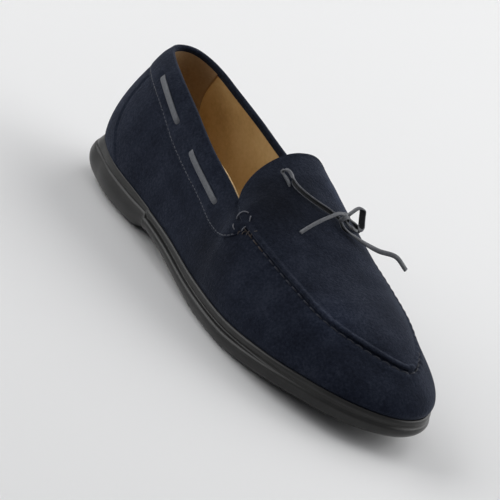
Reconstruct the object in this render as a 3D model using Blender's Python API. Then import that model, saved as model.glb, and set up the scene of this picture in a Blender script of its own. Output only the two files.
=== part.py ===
"""A right-foot suede moccasin loafer with a laced collar and a moulded rubber sole.

The last is described in millimetres: X runs from the back of the heel to the toe, +Y is the
medial side (the left side of a right shoe), +Z is up and the ground is at zero. Every point is
moved to the part's own frame at the end: metres, with the origin at the middle of the footprint.
"""
import math
from collections import namedtuple

import bmesh
import bpy
from mathutils import Vector

MM = 0.001

# ---------------------------------------------------------------- driving sizes, millimetres
WALL = 2.4            # suede and lining together
CLEARANCE = 0.3       # gap between touching pieces
SEAT_DEPTH = 1.2      # how far the upper is let into the sole
LIP_RISE = 0.3        # how far the sole's lip stands above the feather line
INSOLE_THICKNESS = 3.0
TREAD_THICKNESS = 2.5
TONGUE_LENGTH = 13.2  # how far the tongue runs back from the throat corners
THROAT_X = 144.5      # where collar and apron part
RIDGE_LEAN = 0.15     # how far the instep's ridge lies to the medial side, in half widths
BAR_WIDTH = 3.6
BAR_THICKNESS = 1.5
LACE_DIAMETER = 2.4

# ---------------------------------------------------------------- resolution
STATIONS = 34         # from heel to toe along one side
WALL_STEPS = 7        # from feather line to seam
APRON_STEPS = 12      # across the apron and the tongue
TONGUE_STEPS = 3
SOLE_STEPS = 6        # across the sole and the insole
SMOOTH_ANGLE = 35.0   # degrees between faces that still shade as one surface

# ---------------------------------------------------------------- the last
Feather = namedtuple("Feather", "x lateral medial height")
FEATHER = [           # where the upper meets the sole
    Feather(3.0, 0.0, 0.0, 28.0),
    Feather(10.0, -22.5, 21.5, 27.0),
    Feather(22.0, -29.6, 28.5, 25.5),
    Feather(40.0, -34.0, 32.0, 23.6),
    Feather(75.0, -36.0, 31.5, 21.3),
    Feather(110.0, -39.4, 30.0, 19.0),
    Feather(150.0, -46.1, 34.5, 15.6),
    Feather(190.0, -51.3, 43.0, 15.4),
    Feather(225.0, -49.2, 45.5, 17.9),
    Feather(255.0, -41.2, 39.5, 20.4),
    Feather(280.0, -28.5, 29.5, 22.2),
    Feather(297.0, 2.0, 2.0, 23.0),
]

Rim = namedtuple("Rim", "x lateral lateral_height medial medial_height bulge crown")
RIM = [               # the collar's edge, then the apron seam; bulge is the wall's fullness
    Rim(6.8, 6.0, 88.8, 6.0, 88.8, 3.6, 0.0),
    Rim(12.0, -4.0, 88.6, 15.8, 89.4, 5.3, 0.0),
    Rim(20.0, -9.2, 88.8, 21.6, 87.9, 6.0, 0.0),
    Rim(31.0, -14.4, 88.4, 25.2, 85.6, 5.6, 0.0),
    Rim(42.0, -18.2, 87.3, 27.2, 82.9, 5.0, 0.0),
    Rim(70.0, -23.4, 80.9, 30.4, 77.0, 3.5, 0.0),
    Rim(100.0, -28.3, 72.8, 32.5, 70.6, 2.0, 0.0),
    Rim(128.0, -30.6, 66.2, 36.5, 65.0, 2.5, 25.0),
    Rim(144.5, -33.8, 62.6, 40.0, 61.5, 3.5, 25.5),
    Rim(155.0, -38.6, 60.4, 41.0, 59.5, 4.0, 23.5),
    Rim(177.0, -38.7, 57.2, 40.5, 56.5, 5.0, 17.5),
    Rim(210.0, -35.6, 52.6, 37.0, 52.4, 5.5, 11.0),
    Rim(238.0, -30.4, 48.6, 32.5, 48.3, 6.0, 8.0),
    Rim(260.0, -16.2, 45.4, 24.0, 45.0, 6.5, 5.5),
    Rim(272.0, -6.2, 44.0, 15.0, 43.6, 7.0, 3.0),
    Rim(279.0, 4.0, 43.0, 4.0, 43.0, 7.0, 0.0),
]

Ground = namedtuple("Ground", "x height")
GROUND = [            # underside of the sole in front of the heel
    Ground(90.0, 8.6),
    Ground(100.0, 7.8),
    Ground(120.0, 4.9),
    Ground(140.0, 2.0),
    Ground(160.0, 0.0),
    Ground(190.0, 0.0),
    Ground(205.0, 1.2),
    Ground(225.0, 3.7),
    Ground(255.0, 7.1),
    Ground(280.0, 9.3),
    Ground(302.0, 11.4),
]
BREAST_BACK = 63.0    # the heel starts to rise from the ground here
BREAST_FRONT = 90.0   # and reaches the waist here
BLOCK_END = (82.5, 86.0)   # the heel block's sides stand proud of the waist up to here
REAR_SWELL = 3.4           # the sole's sides stand out further round the back of the heel
REAR_END = (8.0, 28.0)     # and this fades along here
TOE_START = (195.0, 245.0) # the groove round the sole's side grows shallow along here

Edge = namedtuple("Edge", "rise share out toe_out heel_share heel_out")
SOLE_EDGE = [         # the sole's side from the seat over the lip and down to the tread
    Edge(-SEAT_DEPTH, 0.00, 0.55, 0.55, 0.00, 0.55),
    Edge(LIP_RISE, 0.00, 0.55, 0.55, 0.00, 0.55),
    Edge(LIP_RISE, 0.00, 1.60, 1.60, 0.00, 1.00),
    Edge(0.0, 0.06, 2.30, 2.30, 0.05, 1.40),
    Edge(0.0, 0.22, 2.60, 2.60, 0.16, 1.70),
    Edge(0.0, 0.25, 0.80, 2.10, 0.18, 1.00),
    Edge(0.0, 0.35, 0.80, 2.20, 0.22, 1.00),
    Edge(0.0, 0.39, 3.00, 2.90, 0.26, 1.90),
    Edge(0.0, 0.50, 3.80, 3.50, 0.46, 2.60),
    Edge(0.0, 0.66, 3.30, 3.30, 0.68, 1.10),
    Edge(0.0, 0.85, 1.90, 1.90, 0.85, -1.20),
    Edge(0.0, 1.00, -0.60, -0.60, 1.00, -5.80),
]

TreadPatch = namedtuple("TreadPatch", "name x_blunt margin wave_height toward_toe")
TREADS = [            # dark inserts let into the underside, each with one wavy blunt end
    TreadPatch("forefoot_tread", 152.0, 11.0, 2.2, True),
    TreadPatch("heel_tread", 62.0, 9.0, 2.2, False),
]
WAVE_LENGTH = 21.0    # of the blunt ends
WAVE_FADE = 14.0      # how far the wave reaches into the grid

LaceBar = namedtuple("LaceBar", "name x_start x_end drop_start drop_end")
LACE_BARS = [         # stretches of lace showing on the collar band, below its edge
    LaceBar("rear", 32.4, 67.6, 8.5, 12.1),
    LaceBar("front", 89.0, 128.8, 11.8, 12.2),
]
LATERAL, MEDIAL = -1, 1

Lay = namedtuple("Lay", "x across height")
KNOT = Lay(177.0, 0.29, 4.4)
KNOT_RADIUS = 4.0


def stretch(first, last, steps, bow=0.0):
    """Even steps from one place of a lace to another, bowed to the medial side."""
    lays = []
    for number in range(steps):
        share = number / (steps - 1)
        x = first.x + (last.x - first.x) * share
        across = first.across + (last.across - first.across) * share + bow * 4 * share * (1 - share)
        lays.append(Lay(x, across, first.height + (last.height - first.height) * share))
    return lays


LACE_ROUTES = {       # over the apron: place along, place across from -1 to 1, height above it
    "lace_strand_lateral": [
        Lay(144.5, -0.39, 0.9),
        Lay(144.0, -0.38, 2.4),
        Lay(145.0, -0.33, 3.7),
        Lay(148.0, -0.28, 3.2),
        *stretch(Lay(153.0, -0.25, 2.3), Lay(172.0, 0.11, 3.2), 6, -0.06),
        KNOT,
    ],
    "lace_strand_medial": [
        Lay(156.0, 0.90, 1.2),
        Lay(157.0, 0.91, 2.1),
        Lay(164.0, 0.94, 1.8),
        Lay(170.0, 0.90, 1.6),
        Lay(175.0, 0.78, 1.6),
        Lay(179.5, 0.60, 1.6),
        Lay(181.0, 0.50, 1.6),
        Lay(181.0, 0.40, 1.8),
        KNOT,
    ],
    "lace_tail_lateral": [
        KNOT,
        *stretch(Lay(176.5, 0.17, 7.1), Lay(183.0, -0.50, 2.0), 6),
    ],
    "lace_loop": [
        KNOT,
        *stretch(Lay(176.0, 0.37, 6.4), Lay(173.5, 0.47, 10.2), 3),
        Lay(173.5, 0.51, 11.4),
        *stretch(Lay(174.5, 0.55, 10.6), Lay(181.5, 0.57, 5.3), 4),
        Lay(183.5, 0.55, 4.4),
        Lay(183.5, 0.51, 4.4),
        Lay(181.5, 0.48, 4.7),
        Lay(179.0, 0.41, 4.6),
        KNOT,
    ],
    "lace_tail_toe": [
        KNOT,
        Lay(183.0, 0.27, 2.5),
        Lay(188.0, 0.41, 2.8),
        Lay(193.0, 0.52, 4.2),
        Lay(197.0, 0.70, 6.5),
        Lay(201.0, 0.84, 12.0),
        Lay(206.0, 0.96, 13.5),
    ],
}
LACE_STEP = 3.6       # between the points of a lace's solid


# ---------------------------------------------------------------- smooth curves through a table
def smooth(knots, values, at):
    """The value at a place on the smooth curve through the knots, held level past both ends."""
    if at <= knots[0]:
        return values[0]
    if at >= knots[-1]:
        return values[-1]
    k = max(i for i in range(len(knots) - 1) if knots[i] <= at)
    step = knots[k + 1] - knots[k]

    def slope(i):
        low, high = max(i - 1, 0), min(i + 1, len(knots) - 1)
        return (values[high] - values[low]) / (knots[high] - knots[low])

    f = (at - knots[k]) / step
    start = (1 + 2 * f) * (1 - f) ** 2 * values[k] + f * (1 - f) ** 2 * step * slope(k)
    return start + f * f * (3 - 2 * f) * values[k + 1] + f * f * (f - 1) * step * slope(k + 1)


def station(rows, x):
    """How far along a table, 0 to 1, an x lies: stations crowd together at heel and toe."""
    share = (x - rows[0].x) / (rows[-1].x - rows[0].x)
    return math.acos(1 - 2 * min(max(share, 0.0), 1.0)) / math.pi


def station_x(rows, t):
    return rows[0].x + (rows[-1].x - rows[0].x) * (1 - math.cos(math.pi * t)) / 2


def read(rows, column, t):
    knots = [station(rows, row.x) for row in rows]
    return smooth(knots, [getattr(row, column) for row in rows], t)


def ease(low, high, x):
    f = min(max((x - low) / (high - low), 0.0), 1.0)
    return f * f * (3 - 2 * f)


def ground(x):
    """Height of the sole's underside."""
    waist = smooth([row.x for row in GROUND], [row.height for row in GROUND], x)
    return ease(BREAST_BACK, BREAST_FRONT, x) * max(waist, 0.0)


# ---------------------------------------------------------------- rings round the last
# A ring place r runs 0 to 1 along the lateral side to the toe and 1 to 2 back along the medial.
def side_and_station(r):
    r = r % 2.0
    return ("lateral", r) if r <= 1.0 else ("medial", 2.0 - r)


def feather(r):
    side, t = side_and_station(r)
    return Vector((station_x(FEATHER, t), read(FEATHER, side, t), read(FEATHER, "height", t)))


def rim(r):
    side, t = side_and_station(r)
    return Vector((station_x(RIM, t), read(RIM, side, t), read(RIM, side + "_height", t)))


def outward(r):
    """Level direction away from the last at a ring place."""
    along = feather(r + 0.004) - feather(r - 0.004)
    return Vector((along.y, -along.x, 0.0)).normalized()


def wall_point(r, w):
    """The upper's outer side: w runs from the feather line, 0, to the rim, 1."""
    t = side_and_station(r)[1]
    fullness = read(RIM, "bulge", t) * 4.35 * w ** 0.9 * (1 - w) * (1 - 0.25 * w)
    return feather(r).lerp(rim(r), w) + outward(r) * fullness


def wall_normal(r, w):
    along = wall_point(r + 0.003, w) - wall_point(r - 0.003, w)
    up = wall_point(r, min(w + 0.01, 1.0)) - wall_point(r, w - 0.01)
    return along.cross(up).normalized()


def apron_point(t, v):
    """The apron between its two seams: v runs from -1, lateral, to 1, medial."""
    flat = rim(t).lerp(rim(2.0 - t), (v + 1) / 2)
    crown = read(RIM, "crown", t)
    lean = RIDGE_LEAN * (1 - v * v)
    return flat + Vector((0.0, 0.0, crown * (1 - abs(v - lean) ** 2.4) ** 0.8))


def tongue_point(u, v):
    """The apron runs on behind the throat: u is 0 at the throat and 1 at the tongue's edge."""
    t = station(RIM, THROAT_X)
    ahead, behind = apron_point(t + 0.02, v), apron_point(t, v)
    reach = TONGUE_LENGTH * (1 - v ** 8) ** 0.5 * (1 - 0.1 * v)
    back = (behind - ahead).normalized()
    return behind + back * reach * u


# ---------------------------------------------------------------- from points to objects
def footprint_middle():
    """Middle of the whole shoe's box, seen from above."""
    places = [i / 100 for i in range(200)]
    outline = [sole_point(r, edge) for r in places for edge in SOLE_EDGE]
    outline += [wall_point(r, i / 10) for r in places for i in range(11)]
    xs, ys = [p.x for p in outline], [p.y for p in outline]
    return Vector(((min(xs) + max(xs)) / 2, (min(ys) + max(ys)) / 2, 0.0))


def material(name, colour, roughness):
    made = bpy.data.materials.new(name)
    made.use_nodes = True
    shader = made.node_tree.nodes["Principled BSDF"]
    shader.inputs["Base Color"].default_value = (*colour, 1.0)
    shader.inputs["Roughness"].default_value = roughness
    shader.inputs["Metallic"].default_value = 0.0
    return made


def build(name, quads, finish):
    """A named object from faces given as lists of points in the last's millimetres."""
    mesh = bpy.data.meshes.new(name)
    shell = bmesh.new()
    for quad in quads:
        shell.faces.new([shell.verts.new((p - MIDDLE) * MM) for p in quad])
    bmesh.ops.remove_doubles(shell, verts=shell.verts, dist=2e-6)
    bmesh.ops.dissolve_degenerate(shell, edges=shell.edges, dist=1e-6)
    bmesh.ops.recalc_face_normals(shell, faces=shell.faces)
    shell.to_mesh(mesh)
    shell.free()
    mesh.shade_smooth()
    mesh.set_sharp_from_angle(angle=math.radians(SMOOTH_ANGLE))
    made = bpy.data.objects.new(name, mesh)
    bpy.context.scene.collection.objects.link(made)
    if finish:
        mesh.materials.append(finish)
    return made


def grid_faces(grid):
    """Faces of a grid given as rows of points."""
    return [[grid[i][j], grid[i][j + 1], grid[i + 1][j + 1], grid[i + 1][j]]
            for i in range(len(grid) - 1) for j in range(len(grid[0]) - 1)]


def slab(low, high):
    """Faces of the closed body between two like grids."""
    faces = grid_faces(low) + grid_faces(high)
    rows, columns = len(low), len(low[0])
    border = [(0, j) for j in range(columns)] + [(i, columns - 1) for i in range(1, rows)]
    border += [(rows - 1, j) for j in range(columns - 2, -1, -1)]
    border += [(i, 0) for i in range(rows - 2, 0, -1)]
    for (a, b), (c, d) in zip(border, border[1:] + border[:1]):
        faces.append([low[a][b], low[c][d], high[c][d], high[a][b]])
    return faces


def rungs(left, right, steps):
    """A grid of straight rungs between two lines of points."""
    return [[a.lerp(b, j / steps) for j in range(steps + 1)] for a, b in zip(left, right)]


# ---------------------------------------------------------------- sole
def sole_out(x, edge):
    heel = 1 - ease(*BLOCK_END, x)
    swell = REAR_SWELL * (1 - ease(*REAR_END, x)) * (4 * edge.share * (1 - edge.share)) ** 2
    out = edge.out + (edge.toe_out - edge.out) * ease(*TOE_START, x)
    return out + (edge.heel_out - out) * heel + swell


def sole_point(r, edge):
    foot = feather(r)
    heel = 1 - ease(*BLOCK_END, foot.x)
    share = edge.share + (edge.heel_share - edge.share) * heel
    point = foot + outward(r) * sole_out(foot.x, edge)
    low = ground(point.x)
    point.z = foot.z + edge.rise + (low - foot.z) * share
    return point


def sole_stations():
    """Even stations, with more where the heel block's sides end."""
    even = [i / STATIONS for i in range(STATIONS + 1)]
    step = [station(FEATHER, x) for x in (*BLOCK_END, BREAST_FRONT + 2.0)]
    kept = [t for t in even if all(abs(t - s) > 0.008 for s in step)]
    return sorted(kept + step)


def sole_unit(finish):
    stations = sole_stations()
    around = stations + [2.0 - t for t in reversed(stations[:-1])]
    rings = [[sole_point(r, edge) for r in around] for edge in SOLE_EDGE]
    faces = grid_faces(rings)
    for edge in (SOLE_EDGE[0], SOLE_EDGE[-1]):
        lateral = [sole_point(t, edge) for t in stations]
        medial = [sole_point(2.0 - t, edge) for t in stations]
        grid = rungs(lateral, medial, SOLE_STEPS)
        if edge is SOLE_EDGE[-1]:
            for row in grid:
                for point in row:
                    point.z = ground(point.x)
        faces += grid_faces(grid)
    return build("sole_unit", faces, finish)


def tread_grids(patch, grow, top, bottom):
    """Two like grids for an insert, grown in outline and set between two offsets in height."""
    blunt = station(FEATHER, patch.x_blunt)
    ends = (blunt, 1.0) if patch.toward_toe else (0.0, blunt)
    steps = 16
    stations = [ends[0] + (ends[1] - ends[0]) * i / steps for i in range(steps + 1)]
    inward = grow - patch.margin

    def edge_line(ring_places):
        return [feather(r) + outward(r) * inward for r in ring_places]

    grid = rungs(edge_line(stations), edge_line([2.0 - t for t in stations]), 10)
    toward_blunt = -1.0 if patch.toward_toe else 1.0
    blunt_row = grid[0] if patch.toward_toe else grid[-1]
    blunt_x = sum(p.x for p in blunt_row) / len(blunt_row)
    for row in grid:
        for point in row:
            fade = 1 - ease(0.0, WAVE_FADE, abs(point.x - blunt_x))
            wave = patch.wave_height * math.cos(2 * math.pi * point.y / WAVE_LENGTH)
            point.x += toward_blunt * (wave + grow) * fade
    low = [[Vector((p.x, p.y, ground(p.x) + bottom)) for p in row] for row in grid]
    high = [[Vector((p.x, p.y, ground(p.x) + top)) for p in row] for row in grid]
    return low, high


def tread(patch, sole, finish):
    low, high = tread_grids(patch, 0.0, TREAD_THICKNESS, 0.0)
    insert = build(patch.name, slab(low, high), finish)
    low, high = tread_grids(patch, CLEARANCE, TREAD_THICKNESS + CLEARANCE, -2.0)
    cutter = build(patch.name + "_recess", slab(low, high), None)
    cutter.hide_render = True
    cutter.display_type = "WIRE"
    recess = sole.modifiers.new(patch.name, "BOOLEAN")
    recess.operation = "DIFFERENCE"
    recess.solver = "EXACT"
    recess.object = cutter
    return insert


def insole(finish):
    """Lies on the sole's seat, inside the foot of the upper."""
    inward = -(WALL + 2 * CLEARANCE)
    stations = [i / STATIONS for i in range(STATIONS + 1)]

    def line(ring_places, height):
        made = [feather(r) + outward(r) * inward for r in ring_places]
        for point in made:
            point.z += height - SEAT_DEPTH + CLEARANCE
        return made

    grids = [rungs(line(stations, height), line([2.0 - t for t in stations], height), 4)
             for height in (0.0, INSOLE_THICKNESS)]
    return build("insole", slab(*grids), finish)


# ---------------------------------------------------------------- upper
def upper(finish):
    """One skin of wall, apron and tongue, thickened inward; open at the collar and underneath."""
    foot = -(SEAT_DEPTH - CLEARANCE)
    t_throat = station(RIM, THROAT_X)
    behind = [t_throat * i / 18 for i in range(19)]
    ahead = [t_throat + (1 - t_throat) * i / 17 for i in range(1, 18)]
    stations = behind + ahead
    around = stations + [2.0 - t for t in reversed(stations[:-1])]
    rows = [i / WALL_STEPS for i in range(WALL_STEPS + 1)]
    rings = [[wall_point(r, w) for r in around] for w in rows]
    rings.insert(0, [point + Vector((0.0, 0.0, foot)) for point in rings[0]])
    faces = grid_faces(rings)
    across = [-math.cos(math.pi * j / APRON_STEPS) for j in range(APRON_STEPS + 1)]
    front = [t_throat] + ahead
    faces += grid_faces([[apron_point(t, v) for v in across] for t in front])
    tongue_rows = [i / TONGUE_STEPS for i in range(TONGUE_STEPS + 1)]
    faces += grid_faces([[tongue_point(u, v) for v in across] for u in tongue_rows])
    made = build("upper", faces, finish)
    thick = made.modifiers.new("wall", "SOLIDIFY")
    thick.thickness = WALL * MM
    thick.offset = -1.0
    thick.use_even_offset = False
    return made


def lace_bar(bar, side, finish):
    """A flat strip of lace lying along the collar band."""
    steps = 6
    lower, upper_side = [], []
    for i in range(steps + 1):
        f = i / steps
        x = bar.x_start + (bar.x_end - bar.x_start) * f
        drop = bar.drop_start + (bar.drop_end - bar.drop_start) * f
        t = station(RIM, x)
        r = t if side == LATERAL else 2.0 - t
        depth = rim(r).z - feather(r).z
        low_row, high_row = [], []
        for across in (-0.5, 0.5):
            w = 1 - (drop + across * BAR_WIDTH) / depth
            point, normal = wall_point(r, w), wall_normal(r, w)
            low_row.append(point + normal * CLEARANCE)
            high_row.append(point + normal * (CLEARANCE + BAR_THICKNESS))
        lower.append(low_row)
        upper_side.append(high_row)
    word = "lateral" if side == LATERAL else "medial"
    return build("lace_bar_" + word + "_" + bar.name, slab(lower, upper_side), finish)


# ---------------------------------------------------------------- lace
def above_apron(lay):
    """The point at a height over the apron's surface."""
    t, nudge = station(RIM, lay.x), 0.01
    along = apron_point(t + nudge, lay.across) - apron_point(t - nudge, lay.across)
    sideways = apron_point(t, lay.across + nudge) - apron_point(t, lay.across - nudge)
    return apron_point(t, lay.across) + along.cross(sideways).normalized() * lay.height


def through(points, samples=40):
    """A smooth curve through points: cubic pieces with the chords' own slopes."""
    ends = [points[0] * 2 - points[1]] + points + [points[-1] * 2 - points[-2]]
    made = []
    for before, start, stop, after in zip(ends, ends[1:], ends[2:], ends[3:]):
        for i in range(samples):
            f = i / samples
            leave, arrive = (stop - before) / 2, (after - start) / 2
            made.append(start * (1 + 2 * f) * (1 - f) ** 2 + leave * f * (1 - f) ** 2
                        + stop * f * f * (3 - 2 * f) + arrive * f * f * (f - 1))
    return made + [points[-1]]


def spaced(points, step):
    """The same line with points a step apart, both ends kept."""
    length = sum((b - a).length for a, b in zip(points, points[1:]))
    pieces = max(round(length / step), 1)
    made, walked, wanted = [points[0]], 0.0, length / pieces
    for a, b in zip(points, points[1:]):
        walked += (b - a).length
        if walked >= wanted - 1e-6 and len(made) < pieces:
            made.append(b)
            wanted += length / pieces
    return made + [points[-1]]


def lace(name, route, finish):
    """A round stretch of lace that stops just clear of the knot."""
    line = through([above_apron(lay) for lay in route])
    knot = above_apron(KNOT)

    def reach_to_knot(before, here, after):
        """From the knot's middle to the tube's nearest side, which depends on how the tube leans."""
        out = here - knot
        lean = out.normalized().cross((after - before).normalized()).length
        return out.length - LACE_DIAMETER / 2 * lean

    free = [here for before, here, after in zip(line, line[1:], line[2:])
            if reach_to_knot(before, here, after) > KNOT_RADIUS + CLEARANCE]
    curve = bpy.data.curves.new(name, "CURVE")
    curve.dimensions = "3D"
    curve.bevel_depth = LACE_DIAMETER / 2 * MM
    curve.bevel_resolution = 2
    curve.use_fill_caps = True
    kept = spaced(free, LACE_STEP)
    spline = curve.splines.new("POLY")
    spline.points.add(len(kept) - 1)
    for vertex, point in zip(spline.points, kept):
        vertex.co = (*((point - MIDDLE) * MM), 1.0)
    curve.materials.append(finish)
    made = bpy.data.objects.new(name, curve)
    bpy.context.scene.collection.objects.link(made)
    return made


def lace_knot(finish):
    bpy.ops.mesh.primitive_uv_sphere_add(
        segments=16, ring_count=10, radius=KNOT_RADIUS * MM,
        location=(above_apron(KNOT) - MIDDLE) * MM)
    made = bpy.context.object
    made.name = made.data.name = "lace_knot"
    made.data.shade_smooth()
    made.data.materials.append(finish)
    return made


# ---------------------------------------------------------------- assembly
for old in list(bpy.data.objects):
    bpy.data.objects.remove(old, do_unlink=True)
MIDDLE = footprint_middle()

suede = material("navy_suede", (0.010, 0.014, 0.030), 0.95)
rubber = material("grey_rubber", (0.060, 0.060, 0.060), 0.55)
tread_rubber = material("black_rubber", (0.012, 0.012, 0.013), 0.6)
tan_leather = material("tan_leather", (0.420, 0.230, 0.080), 0.6)
lace_leather = material("grey_leather", (0.120, 0.125, 0.135), 0.6)

sole = sole_unit(rubber)
for patch in TREADS:
    tread(patch, sole, tread_rubber)
insole(tan_leather)
upper(suede)
for bar in LACE_BARS:
    for side in (LATERAL, MEDIAL):
        lace_bar(bar, side, lace_leather)
lace_knot(lace_leather)
for name, route in LACE_ROUTES.items():
    lace(name, route, lace_leather)
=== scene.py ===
"""Looks of a right-foot suede moccasin loafer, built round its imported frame.

The last is described by the same tables as its solids: millimetres, X from the heel's back to the
toe, +Y medial, +Z up, the ground at zero. place() moves such a point into the frame's metres.
"""
import math
from collections import namedtuple

import bmesh
import bpy
import numpy as np
from mathutils import Matrix, Vector
from mathutils.kdtree import KDTree


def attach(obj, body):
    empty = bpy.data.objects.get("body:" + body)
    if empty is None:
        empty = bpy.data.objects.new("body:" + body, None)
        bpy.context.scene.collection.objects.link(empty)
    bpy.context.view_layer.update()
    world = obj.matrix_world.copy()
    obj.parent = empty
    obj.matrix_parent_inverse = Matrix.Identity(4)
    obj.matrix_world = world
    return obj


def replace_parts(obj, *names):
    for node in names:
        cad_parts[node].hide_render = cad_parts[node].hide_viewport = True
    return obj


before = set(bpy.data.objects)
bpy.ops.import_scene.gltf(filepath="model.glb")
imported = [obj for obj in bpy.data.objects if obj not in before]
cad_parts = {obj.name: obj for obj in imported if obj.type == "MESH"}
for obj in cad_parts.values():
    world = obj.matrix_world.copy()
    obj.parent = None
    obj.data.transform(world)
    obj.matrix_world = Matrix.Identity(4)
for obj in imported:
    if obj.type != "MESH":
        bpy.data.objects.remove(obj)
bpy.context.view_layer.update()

MM = 0.001

# ---------------------------------------------------------------- driving sizes, millimetres
WALL = 2.4             # suede and lining together
SUEDE = 1.2
SEAT_DEPTH = 1.2       # how far the upper is let into the sole
LIP_RISE = 0.3
INSOLE_THICKNESS = 3.0
TONGUE_LENGTH = 13.2
THROAT_X = 144.5       # where collar and apron part
BULGE_SCALE = 4.35     # brings the height of the wall's curve to about one
RIDGE_LEAN = 0.15      # how far the instep's ridge lies to the medial side, in half widths
LACE_WIDTH = 3.6
LACE_THICKNESS = 1.1

# ---------------------------------------------------------------- the last
Feather = namedtuple("Feather", "x lateral medial height")
FEATHER = [            # where the upper meets the sole
    Feather(3.0, 0.0, 0.0, 28.0),
    Feather(10.0, -22.5, 21.5, 27.0),
    Feather(22.0, -29.6, 28.5, 25.5),
    Feather(40.0, -34.0, 32.0, 23.6),
    Feather(75.0, -36.0, 31.5, 21.3),
    Feather(110.0, -39.4, 30.0, 19.0),
    Feather(150.0, -46.1, 34.5, 15.6),
    Feather(190.0, -51.3, 43.0, 15.4),
    Feather(225.0, -49.2, 45.5, 17.9),
    Feather(255.0, -41.2, 39.5, 20.4),
    Feather(280.0, -28.5, 29.5, 22.2),
    Feather(297.0, 2.0, 2.0, 23.0),
]

Rim = namedtuple("Rim", "x lateral lateral_height medial medial_height bulge crown")
RIM = [                # the collar's edge, then the apron seam; bulge is the wall's fullness
    Rim(6.8, 6.0, 88.8, 6.0, 88.8, 3.6, 0.0),
    Rim(12.0, -4.0, 88.6, 15.8, 89.4, 5.3, 0.0),
    Rim(20.0, -9.2, 88.8, 21.6, 87.9, 6.0, 0.0),
    Rim(31.0, -14.4, 88.4, 25.2, 85.6, 5.6, 0.0),
    Rim(42.0, -18.2, 87.3, 27.2, 82.9, 5.0, 0.0),
    Rim(70.0, -23.4, 80.9, 30.4, 77.0, 3.5, 0.0),
    Rim(100.0, -28.3, 72.8, 32.5, 70.6, 2.0, 0.0),
    Rim(128.0, -30.6, 66.2, 36.5, 65.0, 2.5, 25.0),
    Rim(144.5, -33.8, 62.6, 40.0, 61.5, 3.5, 25.5),
    Rim(155.0, -38.6, 60.4, 41.0, 59.5, 4.0, 23.5),
    Rim(177.0, -38.7, 57.2, 40.5, 56.5, 5.0, 17.5),
    Rim(210.0, -35.6, 52.6, 37.0, 52.4, 5.5, 11.0),
    Rim(238.0, -30.4, 48.6, 32.5, 48.3, 6.0, 8.0),
    Rim(260.0, -16.2, 45.4, 24.0, 45.0, 6.5, 5.5),
    Rim(272.0, -6.2, 44.0, 15.0, 43.6, 7.0, 3.0),
    Rim(279.0, 4.0, 43.0, 4.0, 43.0, 7.0, 0.0),
]

Ground = namedtuple("Ground", "x height")
GROUND = [             # underside of the sole in front of the heel
    Ground(90.0, 8.6),
    Ground(100.0, 7.8),
    Ground(120.0, 4.9),
    Ground(140.0, 2.0),
    Ground(160.0, 0.0),
    Ground(190.0, 0.0),
    Ground(205.0, 1.2),
    Ground(225.0, 3.7),
    Ground(255.0, 7.1),
    Ground(280.0, 9.3),
    Ground(302.0, 11.4),
]
BREAST_BACK = 63.0     # the heel starts to rise from the ground here
BREAST_FRONT = 90.0    # and reaches the waist here
BLOCK_END = (82.5, 86.0)   # the heel block's sides stand proud of the waist up to here
REAR_SWELL = 3.4           # the sole's sides stand out further round the back of the heel
REAR_END = (8.0, 28.0)     # and this fades along here
TOE_START = (195.0, 245.0) # the groove round the sole's side grows shallow along here

Edge = namedtuple("Edge", "rise share out toe_out heel_share heel_out")
SOLE_EDGE = [          # the sole's side from the seat over the lip and down to the tread
    Edge(-SEAT_DEPTH, 0.00, 0.55, 0.55, 0.00, 0.55),
    Edge(LIP_RISE, 0.00, 0.55, 0.55, 0.00, 0.55),
    Edge(LIP_RISE, 0.00, 1.60, 1.60, 0.00, 1.00),
    Edge(0.0, 0.06, 2.30, 2.30, 0.05, 1.40),
    Edge(0.0, 0.22, 2.60, 2.60, 0.16, 1.70),
    Edge(0.0, 0.25, 0.80, 2.10, 0.18, 1.00),
    Edge(0.0, 0.35, 0.80, 2.20, 0.22, 1.00),
    Edge(0.0, 0.39, 3.00, 2.90, 0.26, 1.90),
    Edge(0.0, 0.50, 3.80, 3.50, 0.46, 2.60),
    Edge(0.0, 0.66, 3.30, 3.30, 0.68, 1.10),
    Edge(0.0, 0.85, 1.90, 1.90, 0.85, -1.20),
    Edge(0.0, 1.00, -0.60, -0.60, 1.00, -5.80),
]


# ---------------------------------------------------------------- smooth curves through a table
def column(rows, name):
    return np.array([getattr(row, name) for row in rows], float)


def smooth(knots, values, at):
    """The values at places on the smooth curve through the knots, held level past both ends."""
    slope = np.zeros(len(knots))
    slope[1:-1] = (values[2:] - values[:-2]) / (knots[2:] - knots[:-2])
    slope[0] = (values[1] - values[0]) / (knots[1] - knots[0])
    slope[-1] = (values[-1] - values[-2]) / (knots[-1] - knots[-2])
    at = np.clip(at, knots[0], knots[-1])
    k = np.clip(np.searchsorted(knots, at, side="right") - 1, 0, len(knots) - 2)
    step = knots[k + 1] - knots[k]
    f = (at - knots[k]) / step
    start = (1 + 2 * f) * (1 - f) ** 2 * values[k] + f * (1 - f) ** 2 * step * slope[k]
    return start + f * f * (3 - 2 * f) * values[k + 1] + f * f * (f - 1) * step * slope[k + 1]


def station(rows, x):
    """How far along a table, 0 to 1, an x lies: stations crowd together at heel and toe."""
    share = (np.asarray(x, float) - rows[0].x) / (rows[-1].x - rows[0].x)
    return np.arccos(1 - 2 * np.clip(share, 0.0, 1.0)) / math.pi


def station_x(rows, t):
    return rows[0].x + (rows[-1].x - rows[0].x) * (1 - np.cos(math.pi * t)) / 2


def read(rows, name, t):
    return smooth(station(rows, column(rows, "x")), column(rows, name), t)


def ease(low, high, x):
    f = np.clip((x - low) / (high - low), 0.0, 1.0)
    return f * f * (3 - 2 * f)


def hump(middle, width, x):
    """A soft bump of height one."""
    return np.exp(-((x - middle) / width) ** 2)


def vectors(x, y, z):
    return np.stack(np.broadcast_arrays(x, y, z), -1)


def unit(v):
    return v / np.maximum(np.linalg.norm(v, axis=-1, keepdims=True), 1e-9)


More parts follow.
